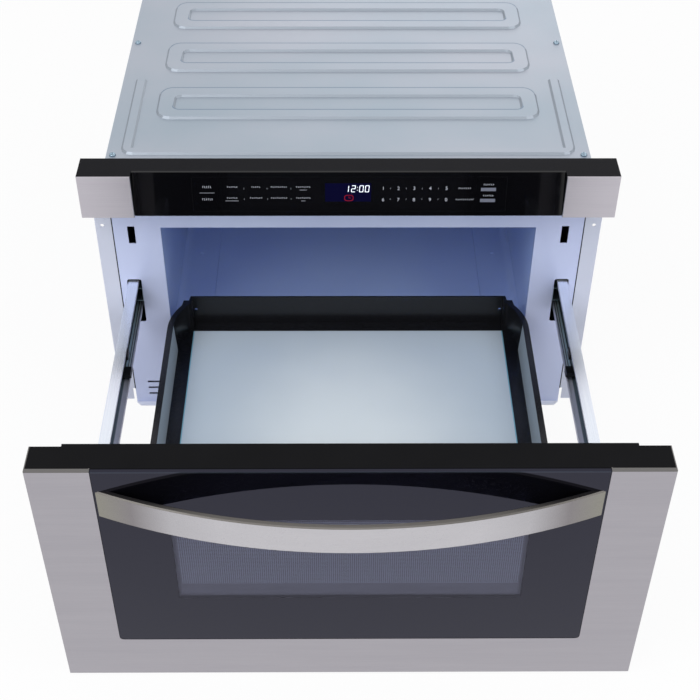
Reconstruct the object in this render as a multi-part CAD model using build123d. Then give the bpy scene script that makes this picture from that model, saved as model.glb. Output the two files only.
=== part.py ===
from build123d import *
from math import acos, cos, pi, radians, sin, tan
import os

os.makedirs("parts", exist_ok=True)

# A built-in microwave drawer, drawn open. Millimetres: X to the right, Y to the back, Z up.
# Y = 0 is the front face of the cabinet and Z = 0 is the shelf that it stands on.

# whole product
front_width = 607.0  # drawer front and control panel, side to side
front_overhang = 23.7  # the front stands out this much past each side of the cabinet
travel = 386.0  # how far the drawer opens
door_height = 319.5
door_lift = 2.0  # shelf to the lower edge of the drawer front
door_depth = 36.4  # front face to the back of the inner panel
seal_gap = 1.0  # inner panel to cabinet face, drawer shut
front_gap = 7.0  # drawer front to control panel
control_height = 55.5
panel_rise = 14.0  # top of the control panel above the top of the cabinet
works_depth = 118.0  # back of the cavity to the back of the cabinet
sheet = 1.0  # casing steel
liner_sheet = 0.8  # cavity steel
seam = 0.3  # open joint between neighbouring covers
running_gap = 0.3  # sliding pieces that pass each other
past = 1.0  # how far a cutter runs beyond the face that it opens
corner_steps = 3  # flats in each rounded corner of an outline
roller_sides = 12  # flats round small rollers and hubs
shank_sides = 8  # flats round a screw

# cavity
floor_z = 107.0
roof_room = 82.2  # cavity roof to the underside of the cover
cavity_depth = 412.0
cavity_corner = 10.0
rail_room = 30.4  # cavity wall to the fixed rail

# slides, from the cabinet side inwards: a fixed rail, a middle rail and the drawer's arm
arm_margin = 9.8  # arm to the inside of the side panel
arm_width = 12.0
arm_half = 24.0  # half the height of the arm
arm_lip = 2.5
arm_overlap = 53.0  # the open drawer's arm still reaches this far behind the cabinet front
rail_rise = 75.0  # cavity floor to the middle of the rails
rail_wall = 1.2
middle_half = 19.2
middle_play = 1.6  # web of the arm to the web of the middle rail
middle_width = 9.0
middle_home = 76.0  # front end of the middle rail, drawer shut
middle_length = 305.0
fixed_half = 10.0
fixed_play = 2.0  # web of the middle rail to the flange edges of the fixed rail
fixed_width = 9.5
fixed_front = 3.0
fixed_length = 387.0
bumper_length = 12.0
bumper_lip = 1.6  # the nose is this much wider than its rail, inwards
bumper_play = 0.5  # fixed rail to the opening of the nose
bumper_chamfer = 2.0
cage_length = 150.0
outer_cage_lead = 7.0  # behind the front end of the middle rail, drawer open
inner_cage_lead = 9.0  # behind the front end of the fixed rail, drawer open
roller_count = 2
roller_width = 5.0
cage_strip = 0.7
bracket_foot = 20.0
bracket_windows = 3
bracket_rib = 39.0  # steel left between two windows
bracket_edge = 36.0  # steel left above and below a window
bracket_corner = 16.0

# the numbers that follow from these
body_half = front_width / 2 - front_overhang
front_half = front_width / 2
body_depth = cavity_depth + works_depth
control_reach = door_depth + seal_gap  # the shut drawer is flush with the control panel
front_y = -(control_reach + travel)  # front face of the open drawer
door_back_y = front_y + door_depth
door_top = door_lift + door_height
control_base = door_top + front_gap
control_top = control_base + control_height
body_height = control_top - panel_rise
cover_base = body_height - sheet
side_outer = body_half - sheet
side_inner = side_outer - sheet
arm_outer = side_inner - arm_margin
arm_inner = arm_outer - arm_width
middle_outer = arm_outer - rail_wall - middle_play
middle_inner = middle_outer - middle_width
fixed_outer = middle_outer - rail_wall - fixed_play
fixed_inner = fixed_outer - fixed_width
cavity_half = fixed_inner - rail_room
roof_z = cover_base - roof_room
roof_top = roof_z + liner_sheet
rail_z = floor_z + rail_rise
middle_front = middle_home - travel / 2
well_y = cavity_depth / 2

# casing
cover_flange = 12.0
lip_reach = 7.0  # the base stands out in front under the drawer
lip_chamfer = 6.0
bead_height = 2.4
bead_width = 22.0
ring_bead_margin = 48.3  # side of the cover to the rings
ring_bead_length = 72.4
ring_bead_pitch = 110.9
ring_bead_first = 140.2  # centre of the front ring
ring_bead_rear = 15.0  # least distance from a ring to the back edge
ring_bead_corner = 17.0
side_bead_margin = 15.8
side_bead_width = 14.0
side_bead_end = 198.0
front_bead_start = 27.6
cover_screw_inset = 7.6  # side of the cover to its screws
cover_screw_front = 27.7
cover_screw_middle = 289.0
cover_screw_rear = 22.0  # from the back edge
screw_shank = 1.7
screw_head = 3.8
screw_head_height = 2.0
screw_length = 7.0
hole_play = 0.2  # hole radius over screw radius
panel_flange = 14.0  # side panel, turned in under the cover
panel_field_margin = 62.0
base_flange = 12.0
base_flange_setback = 8.0
base_bead_first = 190.0
base_bead_pitch = 140.0
base_bead_count = 2
base_bead_length = 380.0
vent_slot = 3.4
vent_pitch = 9.0
vent_count = 10
back_vent_length = 70.0
low_vent_base = 60.0

# cabinet front
flange_inset = 5.1  # front face of the drawer to the edge of the mounting flange
flange_leg = 14.0
flange_base = 6.0
flange_hole_inset = 8.2
flange_hole_low = 60.0
flange_hole_spacing = 230.0
flange_hole = 2.2
flange_notch = 19.0
flange_notch_width = 3.2
rail_slot_side = 2.0  # room beside the arm
rail_slot_end = 2.5  # room above the arm and below its tab
rail_slot_corner = 3.0
arm_tab = 15.0  # the arm's tab goes down this far at the drawer front
arm_tab_width = 2.0
latch_slot_inset = 0.1  # from the fixed rail's inner face
latch_slot_width = 8.7
latch_slot_height = 25.1
latch_slot_drop = 23.4  # cavity roof to the foot of the slot
front_vent_start = 17.0  # edge of the front panel to its air slots
front_vent_length = 92.0
front_vent_first = 16.0
front_vent_pitch = 10.5
front_vent_count = 3
front_vent_corner = 1.5

# cavity fittings
floor_pad_margin = 46.1
floor_pad_height = 1.0
floor_pad_end = 26.0
floor_pad_corner = 15.0
floor_dimple_margin = 23.1
floor_dimple_first = 184.0
floor_dimple_pitch = 146.0
floor_dimple_count = 2
floor_dimple = 3.0
floor_dimple_height = 1.6
well_half = 78.0
well_height = 18.0
guide_window_half = 27.0
stirrer_cover_half = 90.0
stirrer_cover_thickness = 2.0
stirrer_cover_corner = 14.0
back_field_margin = 28.0
back_field_height = 3.0
lamp_hole = 1.6
lamp_pitch = 5.0
lamp_rows = 3
lamp_columns = 4
lamp_back = 82.0  # back of the cavity to the lamp
lamp_drop = 42.8  # roof to the lamp
lamp_plate_half = 22.0
lamp_plate = 3.0
lamp_box_half = 15.0
lamp_box_depth = 24.0
lamp_box_wall = 2.0
bulb_radius = 7.0
bulb_length = 13.0

# rack and pinion drive
gear_module = 2.0
pinion_teeth = 18
pressure_angle = 20.0
flank_steps = 3
backlash = 0.3
tip_clearance = 0.25  # in modules
gear_width = 16.0
rack_width = 18.0
rack_height = 18.0  # pitch line to the top of the rack
rack_drop = 9.0  # cavity floor to the top of the rack
rack_tail = 20.0  # rack behind the pinion, drawer open
rack_pockets = 4
rack_pocket_rib = 8.0
rack_pocket_edge = 4.0
rack_web_half = 2.0
rack_slot_play = 3.0
pinion_y = 45.0
pinion_shaft = 4.0
bearing_play = 0.05
cheek = 2.0
cheek_reach = 29.0  # pinion axis to the ends of the bracket
cheek_corner = 6.0
bridge_half = 14.0
drive_foot = 14.0
gearbox_depth = 28.0
gearbox_half = 27.0
gearbox_drop = 24.0
gearbox_rise = 26.0
gearbox_corner = 8.0
motor_radius = 18.0
motor_length = 52.0
motor_drop = 2.0

# drawer front
side_band = 61.1  # steel at each side of the glass
lower_band = 60.4
frame_depth = 33.0
top_return = 4.4
front_edge = 0.8  # rounding of the folded front edges
glass_thickness = 4.0
glass_sink = 0.4  # glass behind the steel face
glass_play = 0.4
glass_corner = 4.5
glass_bevel = 0.5
trim_height = 4.0
trim_wall = 2.0
inner_inset = 30.5  # edge of the drawer front to the inner panel
inner_wall = 3.2
inner_corner = 4.0
inner_rim_inset = 2.0
inner_rim_depth = 20.0
window_side = 68.4  # glass edge to the window
window_low = 67.9
window_high = 74.5
window_margin = 8.0
window_corner = 6.0
trap_width = 26.0
trap_mouth = 10.0  # open gap at the back of the wave trap's outer wall
screen_gap = 4.0  # glass to the back plate of the screen
screen_thickness = 0.8
screen_rim = 24.0
screen_dish = 2.4  # the middle of the screen stands forward

# handle
handle_margin = 2.2  # end of the handle to the steel at the side of the glass
handle_bow = 46.0
handle_height = 36.0
handle_drop = 45.2  # top of the drawer front to the middle of the handle
handle_thickness = 6.0
handle_edge = 1.2
handle_screw_inset = 8.7
handle_screw = 2.5
handle_nut = 5.0
handle_nut_height = 6.0

# tray
tray_gap = 1.6  # tray side to cavity wall
tray_lift = 4.0  # cavity floor to the underside of the tray
tray_floor_rise = 13.0
tray_depth = 42.0  # tray floor to the rim
tray_rim = 6.8
tray_wall = 2.2
tray_skin = 7.0  # thickness of the tray floor's ledge
tray_rear_gap = 7.0  # rear of the tray to the back of the cavity, drawer shut
tray_corner_length = 61.0  # rear of the tray to where its sides turn in
tray_corner_reach = 18.0
tray_corner_turn = 14.0
tray_step = 8.4
tray_step_slope = 1.5
tray_shelf = 8.0
tray_base_chamfer = 2.0
tray_ledge = 25.5  # tray side to the floor glass
tray_front_ledge = 9.0
tray_rear_ledge = 18.3
tray_seat = 7.0
tray_seat_corner = 6.0
side_glass_thickness = 3.0
side_glass_end = 54.0  # rear of the tray to the end of the side glass
side_glass_drop = 2.3  # its foot stands this much further in than its top
side_glass_cap = 2.0
rear_screw_inset = 5.5
rear_screw_rise = 22.0
rear_screw_hole = 2.0
glide_clear = 5.0  # glide to the raised pad of the cavity floor
glide_width = 10.0
glide_length = 14.0
glide_stem = 4.0

# latches
latch_length = 34.0
latch_thickness = 5.6
latch_height = 16.0
latch_tip = 10.0
latch_hook = 4.0
latch_rise = 5.0
switch_gap = 1.5
switch_width = 10.3
switch_length = 28.0
switch_start = 8.0
switch_height = 15.9
switch_pitch = 18.0
switch_margin = 6.0
switch_plate = 1.2

# control panel
cap_width = 60.0
cap_edge = 0.6
lean_top = 9.4  # glass behind the steel caps, upper edge
lean_base = 3.0
control_glass_thickness = 3.0
control_glass_bevel = 0.4
housing_wall = 2.0
board_half = 150.0
board_setback = 15.0
board_thickness = 1.6
display_left = 26.0
display_right = 24.0
display_low = 17.5  # foot of the control panel to the display
display_high = 10.0  # top of the control panel to the display
relay_x = 60.0
relay_width = 24.0
relay_depth = 9.0
supply_x = -110.0
supply_width = 16.0
supply_depth = 6.0
part_low = 14.0  # foot of the control panel to the parts on the board
part_height = 22.0

# works behind and above the cavity
guide_half = 46.0
guide_height = 36.0
guide_rear = 24.0
stirrer_shaft = 3.0
stirrer_play = 1.5
stirrer_radius = 58.0
stirrer_blades = 4
stirrer_blade_width = 24.0
stirrer_tilt = 18.0
stirrer_hub = 9.0
stirrer_hub_height = 8.0
stirrer_drop = 5.0  # roof to the foot of the hub
stirrer_motor_radius = 24.0
stirrer_motor_height = 18.0
stirrer_socket = 12.0
ear_length = 66.0
ear_width = 12.0
ear_thickness = 1.5
works_centre = 58.0  # back of the cavity to the middle of the works
magnetron_half = 42.0
magnetron_front = 34.0
magnetron_rear = 30.0
magnetron_height = 78.0
magnetron_plate = 1.5
magnetron_fins = 5
magnetron_fin = 1.2
anode_radius = 18.0
aerial_radius = 9.0
aerial_length = 22.0
aerial_play = 3.0
filter_half = 20.0
filter_height = 26.0
transformer_inset = 163.8  # side of the cabinet to the transformer
transformer_foot = 48.0
transformer_plate = 2.0
core_half = 40.0
core_depth = 30.0
core_height = 64.0
core_leg = 12.0
coil_half = 26.0
coil_depth = 42.0
coil_lift = 14.0
coil_height = 36.0
coil_chamfer = 8.0
capacitor_inset = 73.8  # side of the cabinet to the capacitor
capacitor_length = 56.0
capacitor_width = 34.0
capacitor_height = 92.0
terminal_spacing = 10.0
terminal_width = 6.0
terminal_height = 12.0
terminal_thickness = 0.8
fan_inset = 129.8  # side of the cabinet to the fan axis
fan_drop = 120.0  # top of the cabinet to the fan axis
fan_radius = 47.0
fan_play = 2.5
fan_blades = 5
fan_hub = 13.0
fan_shaft = 2.5
fan_depth = 18.0
fan_lead = 6.0  # housing front to the blades
fan_pitch = 35.0
fan_blade_root = 16.0
fan_blade_tip = 30.0
fan_blade_thickness = 1.4
shroud_half = 60.0
shroud_depth = 30.0
spider = 3.0
spider_hub = 13.0
motor_stack_half = 26.0
motor_stack = 18.0
motor_strap = 8.0
motor_strap_half = 9.0
fan_coil_half = 12.0
fan_coil_drop = 14.0
gland_inset = 43.8  # side of the cabinet to the cord gland
gland_z = 62.0
gland_radius = 9.0
gland_collar = 3.0
gland_bore = 4.0
gland_length = 18.0
gland_stand = 4.0  # collar outside the back panel

floor_back = floor_z - liner_sheet
gland_x = gland_inset - body_half
fan_x = fan_inset - body_half
transformer_x = body_half - transformer_inset
capacitor_x = body_half - capacitor_inset
fan_z = body_height - fan_drop
works_y = cavity_depth + works_centre
lamp_y = cavity_depth - lamp_back
lamp_z = roof_z - lamp_drop
guide_base = roof_top + well_height
guide_top = guide_base + guide_height
fan_back = body_depth - sheet
fan_front = fan_back - shroud_depth


def block(x, y, z):
    # box between two limits on each axis
    size = [limits[1] - limits[0] for limits in (x, y, z)]
    middle = [(limits[1] + limits[0]) / 2 for limits in (x, y, z)]
    return Pos(*middle) * Box(*size)


def outline(points):
    return make_face(Polyline(*points, close=True))


def area(u, v, corner=0.0):
    # rectangle between limits; where a radius is given its corners turn in short straight steps
    if not corner:
        return Pos((u[0] + u[1]) / 2, (v[0] + v[1]) / 2) * Rectangle(u[1] - u[0], v[1] - v[0])
    centres = [
        (u[1] - corner, v[1] - corner),
        (u[0] + corner, v[1] - corner),
        (u[0] + corner, v[0] + corner),
        (u[1] - corner, v[0] + corner),
    ]
    points = []
    for quarter, (x, y) in enumerate(centres):
        for step in range(corner_steps + 1):
            angle = pi / 2 * (quarter + step / corner_steps)
            points.append((x + corner * cos(angle), y + corner * sin(angle)))
    return outline(points)


def window_area(u, v, cut):
    # rectangle between limits with its corners cut off
    return chamfer(area(u, v).vertices(), cut)


def upright(face, y):
    # face drawn in X and Z, thickened between two depths
    return extrude(Plane.XZ.offset(-y[0]) * face, amount=y[0] - y[1])


def level(face, z):
    # face drawn in X and Y, thickened between two heights
    return extrude(Plane.XY.offset(z[0]) * face, amount=z[1] - z[0])


def across(face, x):
    # face drawn in Y and Z, thickened between two places along X
    return extrude(Plane.YZ.offset(x[0]) * face, amount=x[1] - x[0])


def rod(radius, centre, length, axis):
    # cylinder that starts at a point and runs along an axis
    return extrude(Plane(centre, z_dir=axis) * Circle(radius), amount=length)


def press(plate, at, face, height, thickness):
    # push an area of a sheet out along the plane's normal, with flanks at 45 degrees
    raised = extrude(at.offset(-thickness / 2) * face, amount=height + thickness / 2)
    crown = raised.faces().sort_by(Axis(at.origin, at.z_dir))[-1]
    raised = chamfer(crown.edges(), height)
    return plate + raised - Pos(*(at.z_dir * -thickness)) * raised


def mirrored(shape):
    return mirror(shape, about=Plane.YZ)


def pair(shape):
    return Part() + [shape, mirrored(shape)]


def put(name, shape):
    export_step(shape, f"parts/{name}.step")


def put_pair(name, shape):
    # drawn on the right; the left one is its mirror image
    put("right_" + name, shape)
    put("left_" + name, mirrored(shape))


# ---- casing ----
cover_screw_x = body_half - cover_screw_inset
cover_screw_y = [cover_screw_front, cover_screw_middle, body_depth - cover_screw_rear]


def ring_bead(centre_y):
    # loop with rounded corners
    half = body_half - ring_bead_margin
    reach = ring_bead_length / 2
    ring = area((-half, half), (centre_y - reach, centre_y + reach), ring_bead_corner)
    half -= bead_width
    reach -= bead_width
    inner_corner = ring_bead_corner - bead_width / 2
    return ring - area((-half, half), (centre_y - reach, centre_y + reach), inner_corner)


def edge_bead():
    # one bead along the front edge that turns back down both sides
    half = body_half - side_bead_margin
    inner = half - side_bead_width
    beyond = side_bead_end + side_bead_width
    path = area((-half, half), (front_bead_start, beyond), side_bead_width)
    path &= area((-half, half), (front_bead_start, side_bead_end))
    path -= area((-inner, inner), (front_bead_start + side_bead_width, beyond))
    return chamfer(path.vertices().group_by(Axis.Y)[-1], side_bead_width / 4)


def screw_holes(z):
    # square punched holes under the screw heads
    half = screw_shank + hole_play
    holes = [
        block((x - half, x + half), (y - half, y + half), z)
        for x in (-cover_screw_x, cover_screw_x)
        for y in cover_screw_y
    ]
    return Part() + holes


def top_cover():
    top = Plane.XY.offset(body_height)
    cover = block((-body_half, body_half), (0, body_depth), (cover_base, body_height))
    room = body_depth - ring_bead_first - ring_bead_length / 2 - ring_bead_rear
    for i in range(int(room / ring_bead_pitch) + 1):
        ring = ring_bead(ring_bead_first + i * ring_bead_pitch)
        cover = press(cover, top, ring, bead_height, sheet)
    cover = press(cover, top, edge_bead(), bead_height, sheet)
    flange_z = (body_height - cover_flange, cover_base)
    cover += pair(block((side_outer, body_half), (flange_leg + seam, body_depth), flange_z))
    cover += block((-side_inner, side_inner), (body_depth - 2 * sheet, body_depth - sheet), flange_z)
    return cover - screw_holes((cover_base - past, body_height + past))


def cover_screws():
    screw = level(RegularPolygon(screw_head, 6), (body_height, body_height + screw_head_height))
    shank = RegularPolygon(screw_shank, shank_sides)
    screw += level(shank, (body_height - screw_length, body_height))
    places = [(x, y) for x in (-cover_screw_x, cover_screw_x) for y in cover_screw_y]
    return Part() + [Pos(x, y, 0) * screw for x, y in places]


def base_pan():
    front = -lip_reach
    corners = [
        (-side_outer, body_depth),
        (side_outer, body_depth),
        (side_outer, front + lip_chamfer),
        (side_outer - lip_chamfer, front),
        (-side_outer + lip_chamfer, front),
        (-side_outer, front + lip_chamfer),
    ]
    pan = level(outline(corners), (0, sheet))
    half = base_bead_length / 2
    for i in range(base_bead_count):
        start = base_bead_first + i * base_bead_pitch
        bead = area((-half, half), (start, start + bead_width))
        pan = press(pan, Plane.XY.offset(sheet), bead, bead_height, sheet)
    flange_y = (base_flange_setback, body_depth - base_flange_setback)
    return pan + pair(block((side_inner - sheet, side_inner), flange_y, (0, base_flange)))


def side_panel():
    side = block((side_inner, side_outer), (sheet, body_depth), (sheet, cover_base))
    field = area(
        (panel_field_margin, cover_base - panel_field_margin),
        (panel_field_margin, body_depth - panel_field_margin),
    )
    inwards = Plane((side_inner, 0, 0), x_dir=(0, 0, 1), z_dir=(-1, 0, 0))
    side = press(side, inwards, field, bead_height, sheet)
    flange_y = (base_flange_setback, body_depth - base_flange_setback)
    side += block((side_inner - panel_flange, side_inner), flange_y, (cover_base - sheet, cover_base))
    return side - screw_holes((cover_base - sheet - past, cover_base + past))


def back_panel():
    sheet_face = area((-side_inner, side_inner), (sheet, cover_base - cover_flange))
    louvre = Rectangle(back_vent_length, vent_slot)
    half_stack = (vent_count - 1) * vent_pitch / 2
    for i in range(vent_count):
        sheet_face -= Pos(fan_x, fan_z - half_stack + i * vent_pitch) * louvre
        sheet_face -= Pos(transformer_x, low_vent_base + i * vent_pitch) * louvre
    sheet_face -= Pos(gland_x, gland_z) * Circle(gland_radius + bearing_play)
    return upright(sheet_face, (body_depth - sheet, body_depth))


# ---- cabinet front ----
panel_half = side_outer - seam
rail_slot_base = rail_z - arm_half - arm_tab - rail_slot_end
latch_slot_base = roof_z - latch_slot_drop
latch_slot_inner = fixed_inner + latch_slot_inset
latch_slot_outer = latch_slot_inner + latch_slot_width
latch_slot_top = latch_slot_base + latch_slot_height
rack_top = floor_z - rack_drop
pitch_z = rack_top - rack_height


def front_panel():
    plate = area((-panel_half, panel_half), (sheet, cover_base))
    opening = area((-cavity_half, cavity_half), (floor_z, roof_z), cavity_corner)
    plate -= opening + area((-cavity_half, cavity_half), (rail_z, roof_z))
    rail_slot = area(
        (fixed_inner, arm_outer + rail_slot_side),
        (rail_slot_base, rail_z + arm_half + rail_slot_end),
        rail_slot_corner,
    )
    latch_slot = area((latch_slot_inner, latch_slot_outer), (latch_slot_base, latch_slot_top))
    for slot in (rail_slot, latch_slot):
        plate -= slot
        plate -= mirrored(slot)
    half_slot = rack_width / 2 + rack_slot_play
    tooth_tip = pitch_z - gear_module
    plate -= area((-half_slot, half_slot), (tooth_tip - rack_slot_play, rack_top + rack_slot_play))
    vent_x = (front_vent_start - panel_half, front_vent_start + front_vent_length - panel_half)
    for i in range(front_vent_count):
        base = front_vent_first + i * front_vent_pitch - vent_slot / 2
        plate -= area(vent_x, (base, base + vent_slot), front_vent_corner)
    return upright(plate, (0, sheet))


def mounting_flange():
    # angle welded to the side panel, with a notch at its foot
    top = body_height - cover_flange - seam
    outer = front_half - flange_inset
    plate = area((side_outer, outer), (flange_base, top))
    plate -= area(
        (side_outer - past, side_outer + flange_notch_width),
        (flange_base - past, flange_base + flange_notch),
    )
    for z in (flange_hole_low, flange_hole_low + flange_hole_spacing):
        plate -= Pos(outer - flange_hole_inset, z) * Circle(flange_hole)
    leg = block((side_outer, body_half), (0, flange_leg), (flange_base + flange_notch, top))
    return upright(plate, (0, sheet)) + leg


# ---- cavity ----
floor_half = cavity_half - cavity_corner


def cavity_floor():
    # flat sheet between the turned-in feet of the walls, with a raised pad and four dimples
    pan = block((-floor_half, floor_half), (sheet, cavity_depth), (floor_back, floor_z))
    half = cavity_half - floor_pad_margin
    pad = area((-half, half), (floor_pad_end, cavity_depth - floor_pad_end), floor_pad_corner)
    pan = press(pan, Plane.XY.offset(floor_z), pad, floor_pad_height, liner_sheet)
    dimple = level(RegularPolygon(floor_dimple, 8), (floor_z, floor_z + floor_dimple_height))
    for i in range(floor_dimple_count):
        y = floor_dimple_first + i * floor_dimple_pitch
        pan += pair(Pos(cavity_half - floor_dimple_margin, y, 0) * dimple)
    return pan


def cavity_wall():
    # side wall that turns in at its foot to meet the floor
    outer_half = cavity_half + liner_sheet
    bend_z = floor_z + cavity_corner
    bend = Circle(cavity_corner + liner_sheet) - Circle(cavity_corner)
    skin = Pos(floor_half, bend_z) * bend & area((floor_half, outer_half), (floor_back, bend_z))
    skin += area((cavity_half, outer_half), (bend_z, roof_z))
    return upright(skin, (sheet, cavity_depth))


def lamp_screen():
    # small holes through the right wall in front of the lamp
    hole = RegularPolygon(lamp_hole, 6)
    holes = [
        Pos(
            lamp_y + (i - (lamp_columns - 1) / 2) * lamp_pitch,
            lamp_z + (j - (lamp_rows - 1) / 2) * lamp_pitch,
        )
        * hole
        for i in range(lamp_columns)
        for j in range(lamp_rows)
    ]
    return across(Sketch() + holes, (cavity_half - past, cavity_half + liner_sheet + past))


def cavity_roof():
    # flat roof with a square well for the stirrer, open to the waveguide
    outer_half = cavity_half + liner_sheet
    roof = block((-outer_half, outer_half), (sheet, cavity_depth), (roof_z, roof_top))
    well = Pos(0, well_y) * Rectangle(2 * well_half, 2 * well_half)
    roof = press(roof, Plane.XY.offset(roof_top), well, well_height, liner_sheet)
    return roof - guide_window((roof_top + well_height - liner_sheet - past, guide_base + past))


def guide_window(z):
    half = guide_window_half
    return block((-half, half), (well_y - half, well_y + half), z)


def cavity_back():
    outer_half = cavity_half + liner_sheet
    limits = (floor_back, roof_top)
    back = block((-outer_half, outer_half), (cavity_depth, cavity_depth + liner_sheet), limits)
    half = cavity_half - back_field_margin
    field = area((-half, half), (floor_z + back_field_margin, roof_z - back_field_margin))
    rearwards = Plane((0, cavity_depth + liner_sheet, 0), x_dir=(-1, 0, 0), z_dir=(0, 1, 0))
    return press(back, rearwards, field, back_field_height, liner_sheet)


def stirrer_cover():
    half = stirrer_cover_half
    cover = area((-half, half), (well_y - half, well_y + half), stirrer_cover_corner)
    return level(cover, (roof_z - stirrer_cover_thickness, roof_z))


def cavity_lamp():
    # square lamp holder behind the wall, with the bulb looking through the small holes
    wall = cavity_half + liner_sheet
    at = (lamp_y, lamp_z)

    def square(half):
        return area((at[0] - half, at[0] + half), (at[1] - half, at[1] + half))

    seat = wall + lamp_plate
    inside = lamp_box_half - lamp_box_wall
    holder = across(square(lamp_plate_half), (wall, seat))
    holder += across(square(lamp_box_half), (seat, seat + lamp_box_depth))
    holder -= across(square(inside), (wall - past, seat + lamp_box_depth - lamp_box_wall))
    foot = seat + lamp_box_depth - lamp_box_wall
    return holder + rod(bulb_radius, (foot, *at), bulb_length, (-1, 0, 0))


# ---- control panel ----
glass_half = front_half - cap_width


def control_slope(set_back):
    # line of the leaning glass, moved back by a distance
    top = (-control_reach + lean_top + set_back, control_top)
    foot = (-control_reach + lean_base + set_back, control_base)
    return top, foot


def control_housing():
    face_y = -control_reach + sheet
    wall = housing_wall
    inside_z = (control_base + wall, control_top - wall)
    shell = block((-front_half, front_half), (face_y, 0), (control_base, control_top))
    shell -= pair(block((glass_half + wall, front_half - wall), (face_y + wall, past), inside_z))
    shell -= block((-glass_half, glass_half), (face_y - past, past), inside_z)
    top, foot = control_slope(control_glass_thickness)
    before = face_y - past
    clear = outline([top, foot, (before, foot[1]), (before, top[1])])
    return shell - across(clear, (-glass_half, glass_half))


def control_glass():
    top, foot = control_slope(0)
    top_back, foot_back = control_slope(control_glass_thickness)
    half = glass_half - glass_play
    glass = across(outline([top, foot, foot_back, top_back]), (-half, half))
    return chamfer(glass.edges().filter_by(Axis.X).group_by(Axis.Y)[0], control_glass_bevel)


def end_cap():
    y = (-control_reach, -control_reach + sheet)
    plate = block((glass_half, front_half), y, (control_base, control_top))
    return fillet(plate.edges().filter_by(Axis.Z).group_by(Axis.Y)[0], cap_edge)


def control_board():
    # circuit board in the housing with the clock display in front and a few parts behind
    wall = housing_wall
    board_y = -board_setback
    board_back = board_y + board_thickness
    z = (control_base + wall, control_top - wall)
    board = block((-board_half, board_half), (board_y, board_back), z)
    slope = (lean_top - lean_base) / control_height
    glass_back = -control_reach + lean_base + control_glass_thickness
    near = glass_back + slope * (control_height - display_high) + running_gap
    display_z = (control_base + display_low, control_top - display_high)
    board += block((-display_left, display_right), (near, board_y), display_z)
    part_z = (control_base + part_low, control_base + part_low + part_height)
    for x, width, depth in (
        (relay_x, relay_width, relay_depth),
        (supply_x, supply_width, supply_depth),
    ):
        board += block((x, x + width), (board_back, board_back + depth), part_z)
    return board


# ---- slides ----
def channel(inner, outer, half, y, opens_in=True, lip=0.0):
    # bent steel channel on its side, on the right; a lip turns in along its open edge
    shell = area((inner, outer), (rail_z - half, rail_z + half))
    hollow_x = (inner - past, outer - rail_wall) if opens_in else (inner + rail_wall, outer + past)
    shell -= area(hollow_x, (rail_z - half + rail_wall, rail_z + half - rail_wall))
    if lip:
        tip = half - rail_wall - lip
        shell += area((inner, inner + rail_wall), (rail_z + tip, rail_z + half))
        shell += area((inner, inner + rail_wall), (rail_z - half, rail_z - tip))
    return upright(shell, y)


def rail_arm():
    # channel on the drawer, with a tab at its front end that is screwed to the inner panel
    y = (door_back_y, arm_overlap)
    arm = channel(arm_inner, arm_outer, arm_half, y, lip=arm_lip)
    tab_z = (rail_z - arm_half - arm_tab, rail_z + arm_half)
    return arm + block((arm_inner - arm_tab_width, arm_outer), (y[0], y[0] + rail_wall), tab_z)


def middle_rail():
    y = (middle_front, middle_front + middle_length)
    return channel(middle_inner, middle_outer, middle_half, y)


def bumper():
    # plastic nose on the middle rail, open in the middle so that the fixed rail passes through
    half = middle_half + running_gap
    face = area((middle_inner - bumper_lip, middle_outer), (rail_z - half, rail_z + half))
    nose = upright(face, (middle_front - bumper_length, middle_front))
    nose = chamfer(nose.edges().filter_by(Axis.X).group_by(Axis.Y)[0], bumper_chamfer)
    way = fixed_half + bumper_play
    hollow = area(
        (middle_inner - bumper_lip - past, fixed_outer + bumper_play),
        (rail_z - way, rail_z + way),
    )
    return nose - upright(hollow, (middle_front - bumper_length - past, middle_front + past))


def fixed_rail():
    y = (fixed_front, fixed_front + fixed_length)
    return channel(fixed_inner, fixed_outer, fixed_half, y, opens_in=False)


def rail_bracket():
    # angle that stands on the base and carries the fixed rail
    x = (fixed_inner - rail_wall, fixed_inner)
    y = (fixed_front, fixed_front + fixed_length)
    web = area(y, (sheet, rail_z + fixed_half))
    width = (fixed_length - (bracket_windows + 1) * bracket_rib) / bracket_windows
    limits = (sheet + bracket_edge, rail_z - fixed_half - bracket_edge)
    for i in range(bracket_windows):
        start = y[0] + bracket_rib + i * (width + bracket_rib)
        web -= window_area((start, start + width), limits, bracket_corner)
    foot = block((x[0] - bracket_foot, x[0]), y, (sheet, sheet + rail_wall))
    return across(web, x) + foot


def cage(inner, outer, low, high, front):
    # retainer with short rollers that ride between two rails, above and below their middle
    middle_x = (inner + outer) / 2
    radius = (high - low) / 2 - running_gap / 2
    step = cage_length / roller_count
    x = (middle_x - roller_width / 2, middle_x + roller_width / 2)
    pieces = []
    for sign in (-1, 1):
        z = rail_z + sign * (low + high) / 2
        profile = area((front, front + cage_length), (z - cage_strip / 2, z + cage_strip / 2))
        for i in range(roller_count):
            profile += Pos(front + step * (i + 0.5), z) * RegularPolygon(radius, roller_sides)
        pieces.append(across(profile, x))
    return Part() + pieces


def outer_cage():
    # between the arm and the middle rail
    x = (arm_inner + rail_wall, middle_outer)
    return cage(*x, middle_half, arm_half - rail_wall, middle_front + outer_cage_lead)


def inner_cage():
    # between the middle rail and the fixed rail
    x = (middle_inner, fixed_outer)
    return cage(*x, fixed_half, middle_half - rail_wall, fixed_front + inner_cage_lead)


# ---- drive ----
pitch_radius = gear_module * pinion_teeth / 2
tooth_pitch = pi * gear_module
addendum = gear_module
dedendum = gear_module * (1 + tip_clearance)
pinion_z = pitch_z - pitch_radius
bracket_inner = rack_width / 2 + running_gap
bracket_outer = bracket_inner + cheek


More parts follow.
